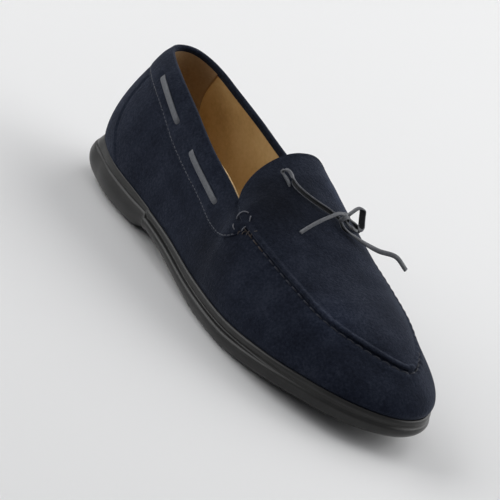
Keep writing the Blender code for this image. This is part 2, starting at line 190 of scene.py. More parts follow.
def spread(v):
    """A number field ready to scale a vector field."""
    return np.asarray(v)[..., None]


# ---------------------------------------------------------------- surfaces of the last
# A ring place r runs 0 to 1 along the lateral side to the toe and 1 to 2 back along the medial.
UP = np.array([0.0, 0.0, 1.0])
SIDES = ((1.0, "lateral"), (-1.0, "medial"))
THROAT = float(station(RIM, THROAT_X))


def fold(r):
    r = np.mod(r, 2.0)
    return np.where(r <= 1.0, r, 2.0 - r), r <= 1.0


def feather(r):
    t, lateral = fold(r)
    y = np.where(lateral, read(FEATHER, "lateral", t), read(FEATHER, "medial", t))
    return vectors(station_x(FEATHER, t), y, read(FEATHER, "height", t))


def rim(r):
    t, lateral = fold(r)
    y = np.where(lateral, read(RIM, "lateral", t), read(RIM, "medial", t))
    z = np.where(lateral, read(RIM, "lateral_height", t), read(RIM, "medial_height", t))
    return vectors(station_x(RIM, t), y, z)


def outward(r):
    """Level direction away from the last at a ring place."""
    along = feather(r + 0.004) - feather(r - 0.004)
    return unit(vectors(along[..., 1], -along[..., 0], 0.0))


def wall_point(r, w):
    """The upper's outer side: w runs from the feather line, 0, to the rim, 1."""
    t = fold(r)[0]
    inside = np.clip(w, 0.0, 1.0)
    fullness = read(RIM, "bulge", t) * BULGE_SCALE * inside ** 0.9 * (1 - inside) * (1 - 0.25 * inside)
    low, high = feather(r), rim(r)
    return low + (high - low) * spread(w) + outward(r) * spread(fullness)


def wall_up(r, w):
    return unit(wall_point(r, np.minimum(w + 0.01, 1.0)) - wall_point(r, w - 0.01))


def wall_normal(r, w):
    along = wall_point(r + 0.003, w) - wall_point(r - 0.003, w)
    return unit(np.cross(along, wall_up(r, w)))


def over_wall(r, w, lift):
    """A place that stands off the wall's outer side, or lies inside it where lift is negative."""
    return wall_point(r, w) + wall_normal(r, w) * spread(lift)


def wall_depth(r):
    """Straight length of the wall from the feather line to the rim."""
    return np.linalg.norm(rim(r) - feather(r), axis=-1)


def apron_point(t, v):
    """The apron between its two seams: v runs from -1, lateral, to 1, medial."""
    lateral, medial = rim(t), rim(2.0 - t)
    lean = RIDGE_LEAN * (1 - v * v)
    rise = read(RIM, "crown", t) * np.maximum(1 - np.abs(v - lean) ** 2.4, 0.0) ** 0.8
    return lateral + (medial - lateral) * spread((v + 1) / 2) + spread(rise) * UP


def apron_normal(t, v):
    back, ahead = np.maximum(t - 0.006, THROAT), np.minimum(t + 0.006, 0.9995)
    low, high = np.maximum(v - 0.02, -1.0), np.minimum(v + 0.02, 1.0)
    along = apron_point(ahead, v) - apron_point(back, v)
    return unit(np.cross(along, apron_point(t, high) - apron_point(t, low)))


def over_apron(t, v, lift):
    return apron_point(t, v) + apron_normal(t, v) * spread(lift)


def tongue_point(u, v):
    """The apron runs on behind the throat: u is 0 at the throat and 1 at the tongue's edge."""
    behind, ahead = apron_point(THROAT, v), apron_point(THROAT + 0.02, v)
    reach = TONGUE_LENGTH * np.maximum(1 - v ** 8, 0.0) ** 0.5 * (1 - 0.1 * v)
    return behind + unit(behind - ahead) * spread(reach * u)


def ground(x):
    """Height of the sole's underside."""
    waist = smooth(column(GROUND, "x"), column(GROUND, "height"), x)
    return ease(BREAST_BACK, BREAST_FRONT, x) * np.maximum(waist, 0.0)


def sole_ring(r, edge):
    foot = feather(r)
    heel = 1 - ease(*BLOCK_END, foot[..., 0])
    share = edge.share + (edge.heel_share - edge.share) * heel
    swell = REAR_SWELL * (1 - ease(*REAR_END, foot[..., 0])) * (4 * edge.share * (1 - edge.share)) ** 2
    out = edge.out + (edge.toe_out - edge.out) * ease(*TOE_START, foot[..., 0])
    out = out + (edge.heel_out - out) * heel + swell
    point = foot + outward(r) * spread(out)
    low = ground(point[..., 0])
    point[..., 2] = foot[..., 2] + edge.rise + (low - foot[..., 2]) * share
    return point


def footprint_middle():
    """Middle of the whole shoe's box, seen from above."""
    places = np.arange(200) / 100
    outline = [sole_ring(places, edge) for edge in SOLE_EDGE]
    outline += [wall_point(places, np.full(200, i / 10)) for i in range(11)]
    points = np.concatenate(outline)
    middle = (points.min(axis=0) + points.max(axis=0)) / 2
    return np.array([middle[0], middle[1], 0.0])


MIDDLE = footprint_middle()


def place(points):
    """The frame's metres from the last's millimetres."""
    return (np.asarray(points, float) - MIDDLE) * MM


# ---------------------------------------------------------------- meshes
def grid_faces(rows, columns, closed_rows=False, closed_columns=False):
    """Quads of a grid of points, whose rows or columns may run round to their start."""
    i = np.arange(rows if closed_rows else rows - 1)
    j = np.arange(columns if closed_columns else columns - 1)
    i, j = np.meshgrid(i, j, indexing="ij")
    next_i, next_j = (i + 1) % rows, (j + 1) % columns
    corners = [i * columns + j, i * columns + next_j, next_i * columns + next_j, next_i * columns + j]
    return np.stack(corners, -1).reshape(-1, 4)


def piece(name, points, faces, finishes, slot, sharp=60.0, face_finish=None):
    """A piece of the loafer from points in the last's millimetres."""
    mesh = bpy.data.meshes.new(name)
    mesh.from_pydata(place(points).reshape(-1, 3).tolist(), [], [list(map(int, f)) for f in faces])
    for finish in finishes:
        mesh.materials.append(finish)
    if face_finish is not None:
        mesh.polygons.foreach_set("material_index", np.asarray(face_finish, np.int32))
    shell = bmesh.new()
    shell.from_mesh(mesh)
    bmesh.ops.remove_doubles(shell, verts=shell.verts, dist=2e-6)
    bmesh.ops.dissolve_degenerate(shell, edges=shell.edges, dist=1e-6)
    bmesh.ops.recalc_face_normals(shell, faces=shell.faces)
    shell.to_mesh(mesh)
    shell.free()
    mesh.shade_smooth()
    mesh.set_sharp_from_angle(angle=math.radians(sharp))
    made = bpy.data.objects.new(name, mesh)
    bpy.context.scene.collection.objects.link(made)
    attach(made, "root")
    return made


def ring_piece(name, grid, finishes, slot, **more):
    """A band that closes on itself both along its rows and round its section."""
    rows, columns = grid.shape[:2]
    return piece(name, grid, grid_faces(rows, columns, True, True), finishes, slot, **more)


def slab_piece(name, top, bottom, finishes, slot, **more):
    """The closed body between two like grids."""
    rows, columns = top.shape[:2]
    count = rows * columns
    index = np.arange(count).reshape(rows, columns)
    border = np.concatenate([index[0, :], index[1:, -1], index[-1, -2::-1], index[-2:0:-1, 0]])
    after = np.roll(border, -1)
    sides = np.stack([border, after, after + count, border + count], -1)
    faces = grid_faces(rows, columns)
    points = np.concatenate([top.reshape(-1, 3), bottom.reshape(-1, 3)])
    return piece(name, points, np.concatenate([faces, faces + count, sides]), finishes, slot, **more)


def through(points, samples=24):
    """A smooth curve through points, or through numbers, with the chords' own slopes."""
    points = np.asarray(points, float)
    ends = np.concatenate([[points[0] * 2 - points[1]], points, [points[-1] * 2 - points[-2]]])
    f = (np.arange(samples) / samples).reshape((-1,) + (1,) * (points.ndim - 1))
    made = []
    for before, start, stop, after in zip(ends, ends[1:], ends[2:], ends[3:]):
        leave, arrive = (stop - before) / 2, (after - start) / 2
        made.append(start * (1 + 2 * f) * (1 - f) ** 2 + leave * f * (1 - f) ** 2
                    + stop * f * f * (3 - 2 * f) + arrive * f * f * (f - 1))
    return np.concatenate(made + [points[-1:]])


def lengths_along(points):
    steps = np.linalg.norm(np.diff(points, axis=0), axis=1)
    return np.concatenate([[0.0], np.cumsum(steps)])


def resample(points, step, *others):
    """The same line with even steps, and any fields along it read at the same places."""
    along = lengths_along(points)
    count = max(int(round(along[-1] / step)), 2) + 1
    at = np.linspace(0.0, along[-1], count)
    fields = []
    for field in (points, *others):
        field = np.asarray(field, float).reshape(len(points), -1)
        read_at = [np.interp(at, along, field[:, k]) for k in range(field.shape[1])]
        fields.append(np.stack(read_at, -1))
    return fields


def tangents(points):
    return unit(np.gradient(points, axis=0))


def ribbon_points(line, facing, width, thickness, bend, sides=16):
    """Rings of a flat lace bent to an arc: bend is half the arc's angle, facing the grain side's way."""
    ahead = tangents(line)
    across = unit(np.cross(facing, ahead))
    up = unit(np.cross(ahead, across))
    angle = 2 * math.pi * (np.arange(sides) + 0.5) / sides
    flat = np.sign(np.cos(angle)) * np.abs(np.cos(angle)) ** 0.55
    tall = np.sign(np.sin(angle)) * np.abs(np.sin(angle)) ** 0.55 * thickness / 2
    bend = np.broadcast_to(bend, len(line))[:, None]
    radius = np.broadcast_to(width, len(line))[:, None] / 2 / bend
    sideways = (radius + tall) * np.sin(bend * flat)
    upright = (radius + tall) * np.cos(bend * flat) - radius * (1 + np.cos(bend)) / 2
    return line[:, None, :] + across[:, None, :] * spread(sideways) + up[:, None, :] * spread(upright)


def tube_faces(rings, sides):
    """Faces of a tube with flat ends."""
    body = [list(f) for f in grid_faces(rings, sides, False, True)]
    return body + [list(range(sides)), list(range((rings - 1) * sides, rings * sides))]


def ribbon(name, line, facing, finishes, slot, width=LACE_WIDTH, thickness=LACE_THICKNESS, bend=0.15):
    """A lace: its grain side has the first finish and its flesh side the second."""
    sides = 16
    rings = ribbon_points(line, facing, width, thickness, bend, sides)
    faces = tube_faces(len(line), sides)
    flesh = [1 if sides // 2 < k < sides - 1 else 0 for k in range(sides)]
    face_finish = [flesh[i % sides] for i in range(len(faces) - 2)] + [0, 0]
    return piece(name, rings, faces, finishes, slot, sharp=75.0, face_finish=face_finish)


def thread(name, runs, radius, finish, slot, sides=6):
    """Many short stitches in one mesh: each run is a line of points that both ends dive into."""
    points, faces, start = [], [], 0
    for run in runs:
        run = np.asarray(run, float)
        ahead = tangents(run)
        helper = np.where(np.abs(ahead[:, 2:3]) < 0.9, UP, np.array([1.0, 0.0, 0.0]))
        across = unit(np.cross(ahead, helper))
        up = np.cross(across, ahead)
        angle = 2 * math.pi * np.arange(sides) / sides
        ring = across[:, None, :] * np.cos(angle)[:, None] + up[:, None, :] * np.sin(angle)[:, None]
        points.append((run[:, None, :] + ring * radius).reshape(-1, 3))
        faces += [[start + k for k in face] for face in tube_faces(len(run), sides)]
        start += len(run) * sides
    return piece(name, np.concatenate(points), faces, [finish], slot)


# ---------------------------------------------------------------- finishes
class Nodes:
    """A material's node tree with short ways to add and join nodes."""

    def __init__(self, name, colour, roughness):
        self.material = bpy.data.materials.new(name)
        self.material.use_nodes = True
        self.tree = self.material.node_tree
        self.shader = self.tree.nodes["Principled BSDF"]
        self.shader.inputs["Base Color"].default_value = (*colour, 1.0)
        self.shader.inputs["Roughness"].default_value = roughness
        self.place = self.add("ShaderNodeTexCoord").outputs["Object"]

    def add(self, kind, **settings):
        node = self.tree.nodes.new(kind)
        for name, value in settings.items():
            setattr(node, name, value)
        return node

    def join(self, source, target):
        self.tree.links.new(source, target)
        return target.node

    def set(self, **values):
        for name, value in values.items():
            self.shader.inputs[name.replace("_", " ")].default_value = value

    def noise(self, size_mm, detail=3.0, rough=0.55):
        """Soft noise whose spots are about the given size."""
        node = self.add("ShaderNodeTexNoise")
        node.inputs["Scale"].default_value = 1.0 / (size_mm * MM)
        node.inputs["Detail"].default_value = detail
        node.inputs["Roughness"].default_value = rough
        self.join(self.place, node.inputs["Vector"])
        return node.outputs["Fac"]

    def ramp(self, field, stops):
        """Colours from a field: stops are (place, colour)."""
        node = self.add("ShaderNodeValToRGB")
        self.join(field, node.inputs["Fac"])
        elements = node.color_ramp.elements
        while len(elements) < len(stops):
            elements.new(0.5)
        for element, (at, colour) in zip(elements, stops):
            element.position = at
            element.color = (*colour, 1.0)
        return node.outputs["Color"]

    def mottle(self, *layers):
        """Noises laid over each other: each layer is (size in mm, detail, share)."""
        return self.sum(*[(self.noise(size, detail), share) for size, detail, share in layers])

    def sum(self, *weighted):
        """A number field from (field, weight) pairs."""
        total = None
        for field, weight in weighted:
            node = self.add("ShaderNodeMath", operation="MULTIPLY_ADD")
            self.join(field, node.inputs[0])
            node.inputs[1].default_value = weight
            if total is not None:
                self.join(total, node.inputs[2])
            else:
                node.inputs[2].default_value = 0.0
            total = node.outputs["Value"]
        return total

    def near(self, centre, radius_mm):
        """1 at a place on the shoe, falling softly to 0 at the radius."""
        far = self.add("ShaderNodeVectorMath", operation="DISTANCE")
        self.join(self.place, far.inputs[0])
        far.inputs[1].default_value = tuple(place(np.array(centre, float)))
        node = self.add("ShaderNodeMapRange", interpolation_type="SMOOTHSTEP")
        self.join(far.outputs["Value"], node.inputs["Value"])
        node.inputs["From Min"].default_value = radius_mm * MM
        node.inputs["From Max"].default_value = 0.0
        return node.outputs["Result"]

    def colour(self, field):
        self.join(field, self.shader.inputs["Base Color"])

    def relief(self, field, depth_mm, strength=1.0):
        node = self.add("ShaderNodeBump")
        node.inputs["Strength"].default_value = strength
        node.inputs["Distance"].default_value = depth_mm * MM
        self.join(field, node.inputs["Height"])
        self.join(node.outputs["Normal"], self.shader.inputs["Normal"])


def on_apron(x, across):
    return apron_point(station(RIM, x), np.array(across))


def on_lateral_wall(x, w):
    return wall_point(np.array(station(RIM, x)), np.array(w))


PaintedPatch = namedtuple("PaintedPatch", "centre radius shade")
PAINTED_LIGHT_AND_SHADE = [            # where shade is painted on the suede or, above 0, light
    PaintedPatch(on_apron(157.0, -0.55), 36.0, -0.55),
    PaintedPatch(on_apron(152.0, 0.75), 22.0, 1.20),
    PaintedPatch(on_lateral_wall(146.0, 0.35), 40.0, -0.40),
    PaintedPatch(on_apron(240.0, -0.85), 24.0, 0.50),
]


def suede_finish():
    """Navy suede: short nap and cloudy, with painted shade and painted light in soft patches."""
    made = Nodes("navy_suede", (0.012, 0.017, 0.033), 0.95)
    clouds = made.noise(16.0, 4.0, 0.6)
    specks = made.noise(1.6, 3.0, 0.65)
    mix = made.sum((clouds, 0.45), (specks, 0.55))
    nap = made.ramp(mix, [(0.36, (0.0045, 0.0065, 0.0135)), (0.50, (0.0100, 0.0135, 0.0245)),
                          (0.64, (0.0200, 0.0245, 0.0390))])
    shade = made.add("ShaderNodeVectorMath", operation="MULTIPLY_ADD")
    made.join(nap, shade.inputs[0])
    # painted shade and painted light: the suede's colour is scaled down or up round each patch
    patches = [(made.near(spot.centre, spot.radius), spot.shade) for spot in PAINTED_LIGHT_AND_SHADE]
    made.join(made.sum(*patches), shade.inputs[1])
    made.join(nap, shade.inputs[2])
    made.colour(shade.outputs["Vector"])
    made.relief(made.mottle((0.5, 2.0, 0.4), (1.7, 3.0, 0.6)), 0.6, 0.9)
    made.set(Sheen_Weight=0.20, Sheen_Roughness=0.40, Sheen_Tint=(0.45, 0.50, 0.64, 1.0),
             Specular_IOR_Level=0.12)
    return made.material


def rubber_finish():
    """Charcoal grey moulded rubber, faintly cloudy."""
    made = Nodes("grey_rubber", (0.024, 0.024, 0.024), 0.33)
    mix = made.mottle((14.0, 3.0, 0.7), (0.7, 2.0, 0.3))
    made.colour(made.ramp(mix, [(0.3, (0.018, 0.018, 0.0178)), (0.7, (0.030, 0.030, 0.0295))]))
    made.relief(made.noise(0.7, 2.0), 0.04, 0.5)
    made.set(Specular_IOR_Level=0.28)
    return made.material


def tread_finish():
    """Black rubber with a fine diagonal net moulded in, and painted shade in the net's grooves."""
    made = Nodes("black_rubber", (0.012, 0.012, 0.013), 0.6)
    ways = []
    for turn in (45.0, -45.0):
        mapping = made.add("ShaderNodeMapping")
        mapping.inputs["Rotation"].default_value = (0.0, 0.0, math.radians(turn))
        made.join(made.place, mapping.inputs["Vector"])
        wave = made.add("ShaderNodeTexWave")
        wave.inputs["Scale"].default_value = 0.31 / (1.5 * MM)
        made.join(mapping.outputs["Vector"], wave.inputs["Vector"])
        ways.append((wave.outputs["Fac"], 0.5))
    net = made.sum(*ways)
    # painted shade: the net's low lines are coloured darker than its ridges
    made.colour(made.ramp(net, [(0.2, (0.008, 0.008, 0.009)), (0.9, (0.022, 0.022, 0.023))]))
    made.relief(net, 0.35, 0.9)
    return made.material


def leather_finish(name, dark, middle, light, roughness=0.55, grain_mm=0.6):
    """Vegetable tanned lining leather, mottled and finely creased."""
    made = Nodes(name, middle, roughness)
    mix = made.mottle((22.0, 4.0, 0.65), (2.0, 3.0, 0.35))
    made.colour(made.ramp(mix, [(0.32, dark), (0.5, middle), (0.7, light)]))
    made.relief(made.mottle((grain_mm, 2.0, 0.5), (7.0, 3.0, 0.5)), 0.25, 0.5)
    return made.material


def lace_finish(name, dark, light, roughness):
    made = Nodes(name, light, roughness)
    made.colour(made.ramp(made.noise(1.2, 3.0), [(0.3, dark), (0.7, light)]))
    made.relief(made.noise(0.5, 2.0), 0.12, 0.6)
    return made.material


def thread_finish(name, colour):
    made = Nodes(name, colour, 0.7)
    made.relief(made.noise(0.3, 2.0), 0.1, 0.5)
    return made.material


SUEDE_FINISH = suede_finish()
RUBBER_FINISH = rubber_finish()
TREAD_FINISH = tread_finish()
LINING_FINISH = leather_finish("tan_lining", (0.52, 0.330, 0.130), (0.64, 0.430, 0.185),
                               (0.72, 0.510, 0.240))
# the heel grip: darker than the lining partly in its own tone, partly as painted shade deep in the heel
HEEL_GRIP_TONE_AND_SHADE = leather_finish("tan_grip_tone_and_shade", (0.27, 0.175, 0.090), (0.34, 0.230, 0.125),
                             (0.41, 0.290, 0.165), 0.75, 0.9)
SOCK_FINISH = leather_finish("tan_sock", (0.42, 0.260, 0.100), (0.52, 0.340, 0.140),
                             (0.60, 0.410, 0.180), 0.6)
# the lining's edge: partly its real tan, partly painted light reflected from the lining onto the collar's
# rim
LINING_EDGE_AND_REFLECTION = leather_finish("tan_edge_painted_reflection", (0.58, 0.380, 0.165), (0.68, 0.470, 0.215),
                               (0.76, 0.550, 0.270))
GRAIN_FINISH = lace_finish("grey_lace_grain", (0.080, 0.085, 0.095), (0.135, 0.140, 0.155), 0.55)
# the bars' lace: a darker copy of the grey lace, as painted shade
SHADED_BARS_FINISH = lace_finish("grey_bar_lace_painted_shade", (0.068, 0.073, 0.084), (0.104, 0.110, 0.124), 0.6)
FLESH_FINISH = lace_finish("grey_lace_flesh", (0.006, 0.0065, 0.008), (0.014, 0.015, 0.018), 0.8)
NAVY_THREAD = thread_finish("navy_thread", (0.012, 0.015, 0.026))
GREY_THREAD = thread_finish("grey_thread", (0.060, 0.066, 0.084))
BROWN_THREAD = thread_finish("brown_thread", (0.042, 0.031, 0.027))
TACK_THREAD = thread_finish("tack_thread", (0.115, 0.12, 0.14))
LACE = [GRAIN_FINISH, FLESH_FINISH]
SHADED_BARS_LACE = [SHADED_BARS_FINISH, FLESH_FINISH]

# ---------------------------------------------------------------- upper: quarters and apron seam
SEAM_STITCH = 5.6      # from stitch to stitch along the apron's seam
ALLOWANCE_RADIUS = 0.8 # of the turned-in edges behind the seam
BROWN_STITCHES = 7     # stitches numbered below this from either end are of brown thread
SEAM_ENDS = 161.0      # the seam's ridge starts here, at the tacks
RIDGE_HEIGHT = 1.25
GROOVE_DEPTH = 0.7
APRON_SUEDE = 1.0      # thickness of the plug's suede
WALL_FOOT = -0.018     # the quarters reach this share of the wall's height below the feather line

seam_places = np.linspace(float(THROAT), 2.0 - THROAT, 1400)
seam_line = rim(seam_places)
seam_length = lengths_along(seam_line)
seam_tree = KDTree(len(seam_line))
for number, spot in enumerate(seam_line):
    seam_tree.insert(Vector(spot), number)
seam_tree.balance()
TACK_X = 159.9         # the knot of thread that ends the apron's seam on each side
TACK_RADIUS = 3.6
TACK_HEIGHT = 0.9      # the suede rises to a low dome round each tack
TACKS = [rim(station(RIM, TACK_X)), rim(2.0 - station(RIM, TACK_X))]


def from_seam(points):
    """Distance of each point from the apron's seam, and how far along the seam it lies."""
    flat = points.reshape(-1, 3)
    found = [seam_tree.find(Vector(p))[1:] for p in flat]
    nearest, far = np.array([f[0] for f in found]), np.array([f[1] for f in found])
    shape = points.shape[:-1]
    return far.reshape(shape), seam_length[nearest].reshape(shape)


def tack_dome(points):
    """1 at the middle of each tack, falling to 0 round it."""
    dome = np.zeros(points.shape[:-1])
    for centre in TACKS:
        dome += np.exp(-((points - centre) ** 2).sum(axis=-1) / TACK_RADIUS ** 2)
    return dome


def pucker(along):
    """1 at each stitch of the seam and 0 between them."""
    return 0.5 + 0.5 * np.cos(2 * math.pi * along / SEAM_STITCH)


Crease = namedtuple("Crease", "x across turn length width depth")
CREASES = [            # soft troughs and, where depth is negative, ridges on the apron
    Crease(188.0, -0.42, 35.0, 26.0, 7.0, 0.45),
    Crease(196.0, 0.10, 80.0, 30.0, 9.0, -0.50),
    Crease(206.0, -0.20, 100.0, 34.0, 7.0, 0.40),
    Crease(222.0, 0.25, 95.0, 40.0, 8.0, 0.35),
    Crease(233.0, -0.35, 80.0, 30.0, 9.0, -0.30),
    Crease(160.0, 0.35, 60.0, 20.0, 8.0, 0.40),
    Crease(152.0, -0.65, 20.0, 14.0, 5.0, 0.35),
]


def creased(points, creases, centres):
    """How far soft creases push each point in."""
    depth = np.zeros(points.shape[:-1])
    for crease, centre in zip(creases, centres):
        turn = math.radians(crease.turn)
        away = points - centre
        along = away[..., 0] * math.cos(turn) + away[..., 1] * math.sin(turn)
        across = away[..., 1] * math.cos(turn) - away[..., 0] * math.sin(turn)
        depth += crease.depth * hump(0.0, crease.length / 2, along) * hump(0.0, crease.width / 2, across)
    return depth


WallSeam = namedtuple("WallSeam", "w x")
COUNTER_SEAM = [       # the heel piece's edge, from the sole up to the collar band
    WallSeam(0.00, 41.0),
    WallSeam(0.14, 31.5),
    WallSeam(0.24, 25.0),
    WallSeam(0.46, 19.0),
    WallSeam(0.67, 18.0),
    WallSeam(0.86, 18.6),
    WallSeam(1.00, 19.0),
]


def counter_edge(w):
    return smooth(column(COUNTER_SEAM, "w"), column(COUNTER_SEAM, "x"), w)


BandEdge = namedtuple("BandEdge", "x w")
BAND_EDGE = [          # lower edge of the collar band, rounded off against the apron's seam
    BandEdge(5.5, 0.765),
    BandEdge(20.0, 0.755),
    BandEdge(38.1, 0.735),
    BandEdge(56.3, 0.690),
    BandEdge(73.1, 0.632),
    BandEdge(96.4, 0.597),
    BandEdge(115.3, 0.580),
    BandEdge(130.8, 0.560),
    BandEdge(143.8, 0.600),
    BandEdge(152.2, 0.685),
    BandEdge(158.5, 0.800),
    BandEdge(162.0, 0.905),
    BandEdge(163.5, 0.985),
]
BAND_LIFT = 0.9
BAND_TOP = 0.5          # the band is thinner where it turns over the collar
BAND_PAD = 0.6
BAND_STITCH = 2.8      # from stitch to stitch
BAND_STITCH_IN = 1.4   # from the band's edge to its stitching
FOLD_DEPTH = 2.3       # how far the band turns down inside the collar
ALMOST_RIM = 0.9999    # just short of the rim, where the wall's curve ends

Slot = namedtuple("Slot", "x drop")
BARS = {               # where the lace shows on the band: from slot to slot
    "rear": (Slot(32.4, 8.5), Slot(67.6, 12.1)),
    "front": (Slot(89.0, 11.8), Slot(128.8, 12.2)),
}


def band_low(x):
    return smooth(column(BAND_EDGE, "x"), column(BAND_EDGE, "w"), x)


def slot_dents(x, drop):
    """The band is drawn in where the lace goes through it."""
    depth = np.zeros(np.broadcast(x, drop).shape)
    for ends in BARS.values():
        for end in ends:
            depth += 0.75 * hump(end.x, 2.6, x) * hump(end.drop, 2.4, drop)
        along = np.clip((x - ends[0].x) / (ends[1].x - ends[0].x), 0.0, 1.0)
        drop_there = ends[0].drop + (ends[1].drop - ends[0].drop) * along
        on_bar = ease(ends[0].x - 2, ends[0].x + 4, x) * (1 - ease(ends[1].x - 4, ends[1].x + 2, x))
        depth += 0.35 * on_bar * hump(drop_there, 2.6, drop)
    return depth


def band_lift(r, w):
    """Height of the collar band's face over the wall."""
    x, depth = rim(r)[..., 0], wall_depth(r)
    low = band_low(x)
    above_edge = (w - low) * depth
    drop = (1 - w) * depth
    length = np.maximum((1 - low) * depth, 0.5)
    round_edge = np.sqrt(np.clip(1 - (1 - np.clip(above_edge / 1.1, 0, 1)) ** 2, 0, 1))
    share = np.clip((above_edge - BAND_STITCH_IN) / np.maximum(length - BAND_STITCH_IN, 0.3), 0, 1)
    pad = BAND_PAD * np.sin(math.pi * share) ** 0.8 * ease(4.0, 12.0, length)
    thin = (BAND_LIFT - BAND_TOP) * (1 - ease(0.5, 5.0, drop))
    stitched = 0.4 * hump(BAND_STITCH_IN, 0.7, above_edge)
    lift = (BAND_LIFT - thin) * round_edge + pad - stitched - slot_dents(x, drop)
    beyond = ease(141.0, 147.0, x) * (1 - ease(0.0, 2.6, drop))
    return lift * (1 - beyond) - 0.5 * beyond


def quarters_lift(r, w, points):
    """How far the quarters stand off the wall: seams, dents and the fall under the collar band."""
    x, depth = rim(r)[..., 0], wall_depth(r)
    near, along = from_seam(points)
    turned = GROOVE_DEPTH * (1 - ease(0.0, 1.6, (1 - w) * depth))
    dents = 0.55 * pucker(along) * (1 - ease(1.0, 5.5, near)) * ease(0.2, 1.2, near)
    swell = 0.45 * hump(4.0, 2.4, near)
    dome = tack_dome(points)
    lift = ease(THROAT_X, THROAT_X + 10.0, x) * (swell - turned - dents)
    lift = lift * (1 - dome) + TACK_HEIGHT * dome
    edge_x = counter_edge(w)
    behind = 1 - ease(-0.5, 0.5, points[..., 0] - edge_x)
    lift = lift + 0.55 * behind - 0.25 * hump(edge_x + 0.6, 0.7, points[..., 0])
    under_band = ease(-1.0, 0.5, (w - band_low(x)) * depth) * (1 - ease(150.0, 153.0, x))
    return lift * (1 - under_band) - 0.15 * under_band


def quarters():
    """The suede wall all round, turned in along the apron's seam."""
    r = (np.arange(620) / 620 * 2.0)[:, None]
    w_out = np.concatenate([[WALL_FOOT], np.linspace(0.0, 1.0, 60) ** 0.9])[None, :]
    grid_r, grid_w = np.broadcast_arrays(r, w_out)
    outer = over_wall(grid_r, grid_w, quarters_lift(grid_r, grid_w, wall_point(grid_r, grid_w)))
    grid_r, grid_w = np.broadcast_arrays(r, np.linspace(1.0, WALL_FOOT, 14)[None, :])
    seamed = ease(THROAT_X, THROAT_X + 10.0, rim(grid_r)[..., 0])
    inner = over_wall(grid_r, grid_w, -SUEDE - GROOVE_DEPTH * seamed * ease(0.9, 1.0, grid_w))
    grid = np.concatenate([outer, inner], axis=1)
    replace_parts(ring_piece("upper_quarters", grid, [SUEDE_FINISH], "navy_suede"), "upper")


def apron_grid(t, u, across, reach=1.0):
    """Points and normals of the tongue, from its edge, and of the apron in front of it."""
    grid_t, grid_v = np.broadcast_arrays(t[:, None], across[None, :] * reach)
    front, front_normal = apron_point(grid_t, grid_v), apron_normal(grid_t, grid_v)
    grid_u, grid_v = np.broadcast_arrays(u[:, None], across[None, :])
    back = tongue_point(grid_u, grid_v)
    back_normal = np.broadcast_to(apron_normal(THROAT, across)[None], back.shape)
    return np.concatenate([back, front]), np.concatenate([back_normal, front_normal])


def tongue_hem(edge, normal, throat):
    """The tongue's edge folded down and under, as rows from the fold's end up to the edge."""
    out = unit(np.cross(normal, np.gradient(edge, axis=0)))
    out = out * np.sign((out * (edge - throat)).sum(axis=-1, keepdims=True).sum())
    half = WALL / 2
    turn = np.linspace(math.pi, 0.0, 9)[:-1, None, None]
    centre = edge - normal * half - out * half * 0.7
    arc = centre + (normal * np.cos(turn) + out * np.sin(turn)) * half
    hem = arc[0] - out * np.linspace(3.5, 0.4, 6)[:, None, None]
    return np.concatenate([hem, arc])


def apron():
    """The suede plug with its short tongue, raised along its seam and folded over at the tongue."""
    across = -np.cos(math.pi * np.arange(131) / 130)
    tongue_rows = np.linspace(1.0, 0.0, 26)[:-1]
    grid, normals = apron_grid(np.linspace(THROAT, 0.9995, 230), tongue_rows, across)
    hem = tongue_hem(grid[0], normals[0], grid[len(tongue_rows)])
    near, along = from_seam(grid)
    flute = 1 - 0.22 * pucker(along)
    ridge = RIDGE_HEIGHT * ease(0.0, 0.9, near) * (1 - ease(1.4, 4.2, near)) * flute
    lift = ridge - GROOVE_DEPTH * (1 - ease(0.0, 0.6, near))
    started = ease(THROAT_X - 2.0, SEAM_ENDS, grid[..., 0])
    centres = [on_apron(crease.x, crease.across) for crease in CREASES]
    dome = tack_dome(grid)
    lift = lift * started * (1 - dome) + TACK_HEIGHT * dome - creased(grid, CREASES, centres)
    grid = np.concatenate([hem, grid + normals * spread(lift)])
    made = piece("upper_apron", grid, grid_faces(*grid.shape[:2]), [SUEDE_FINISH], "navy_suede")
    thick = made.modifiers.new("suede", "SOLIDIFY")
    thick.thickness = APRON_SUEDE * MM
    thick.offset = -1.0


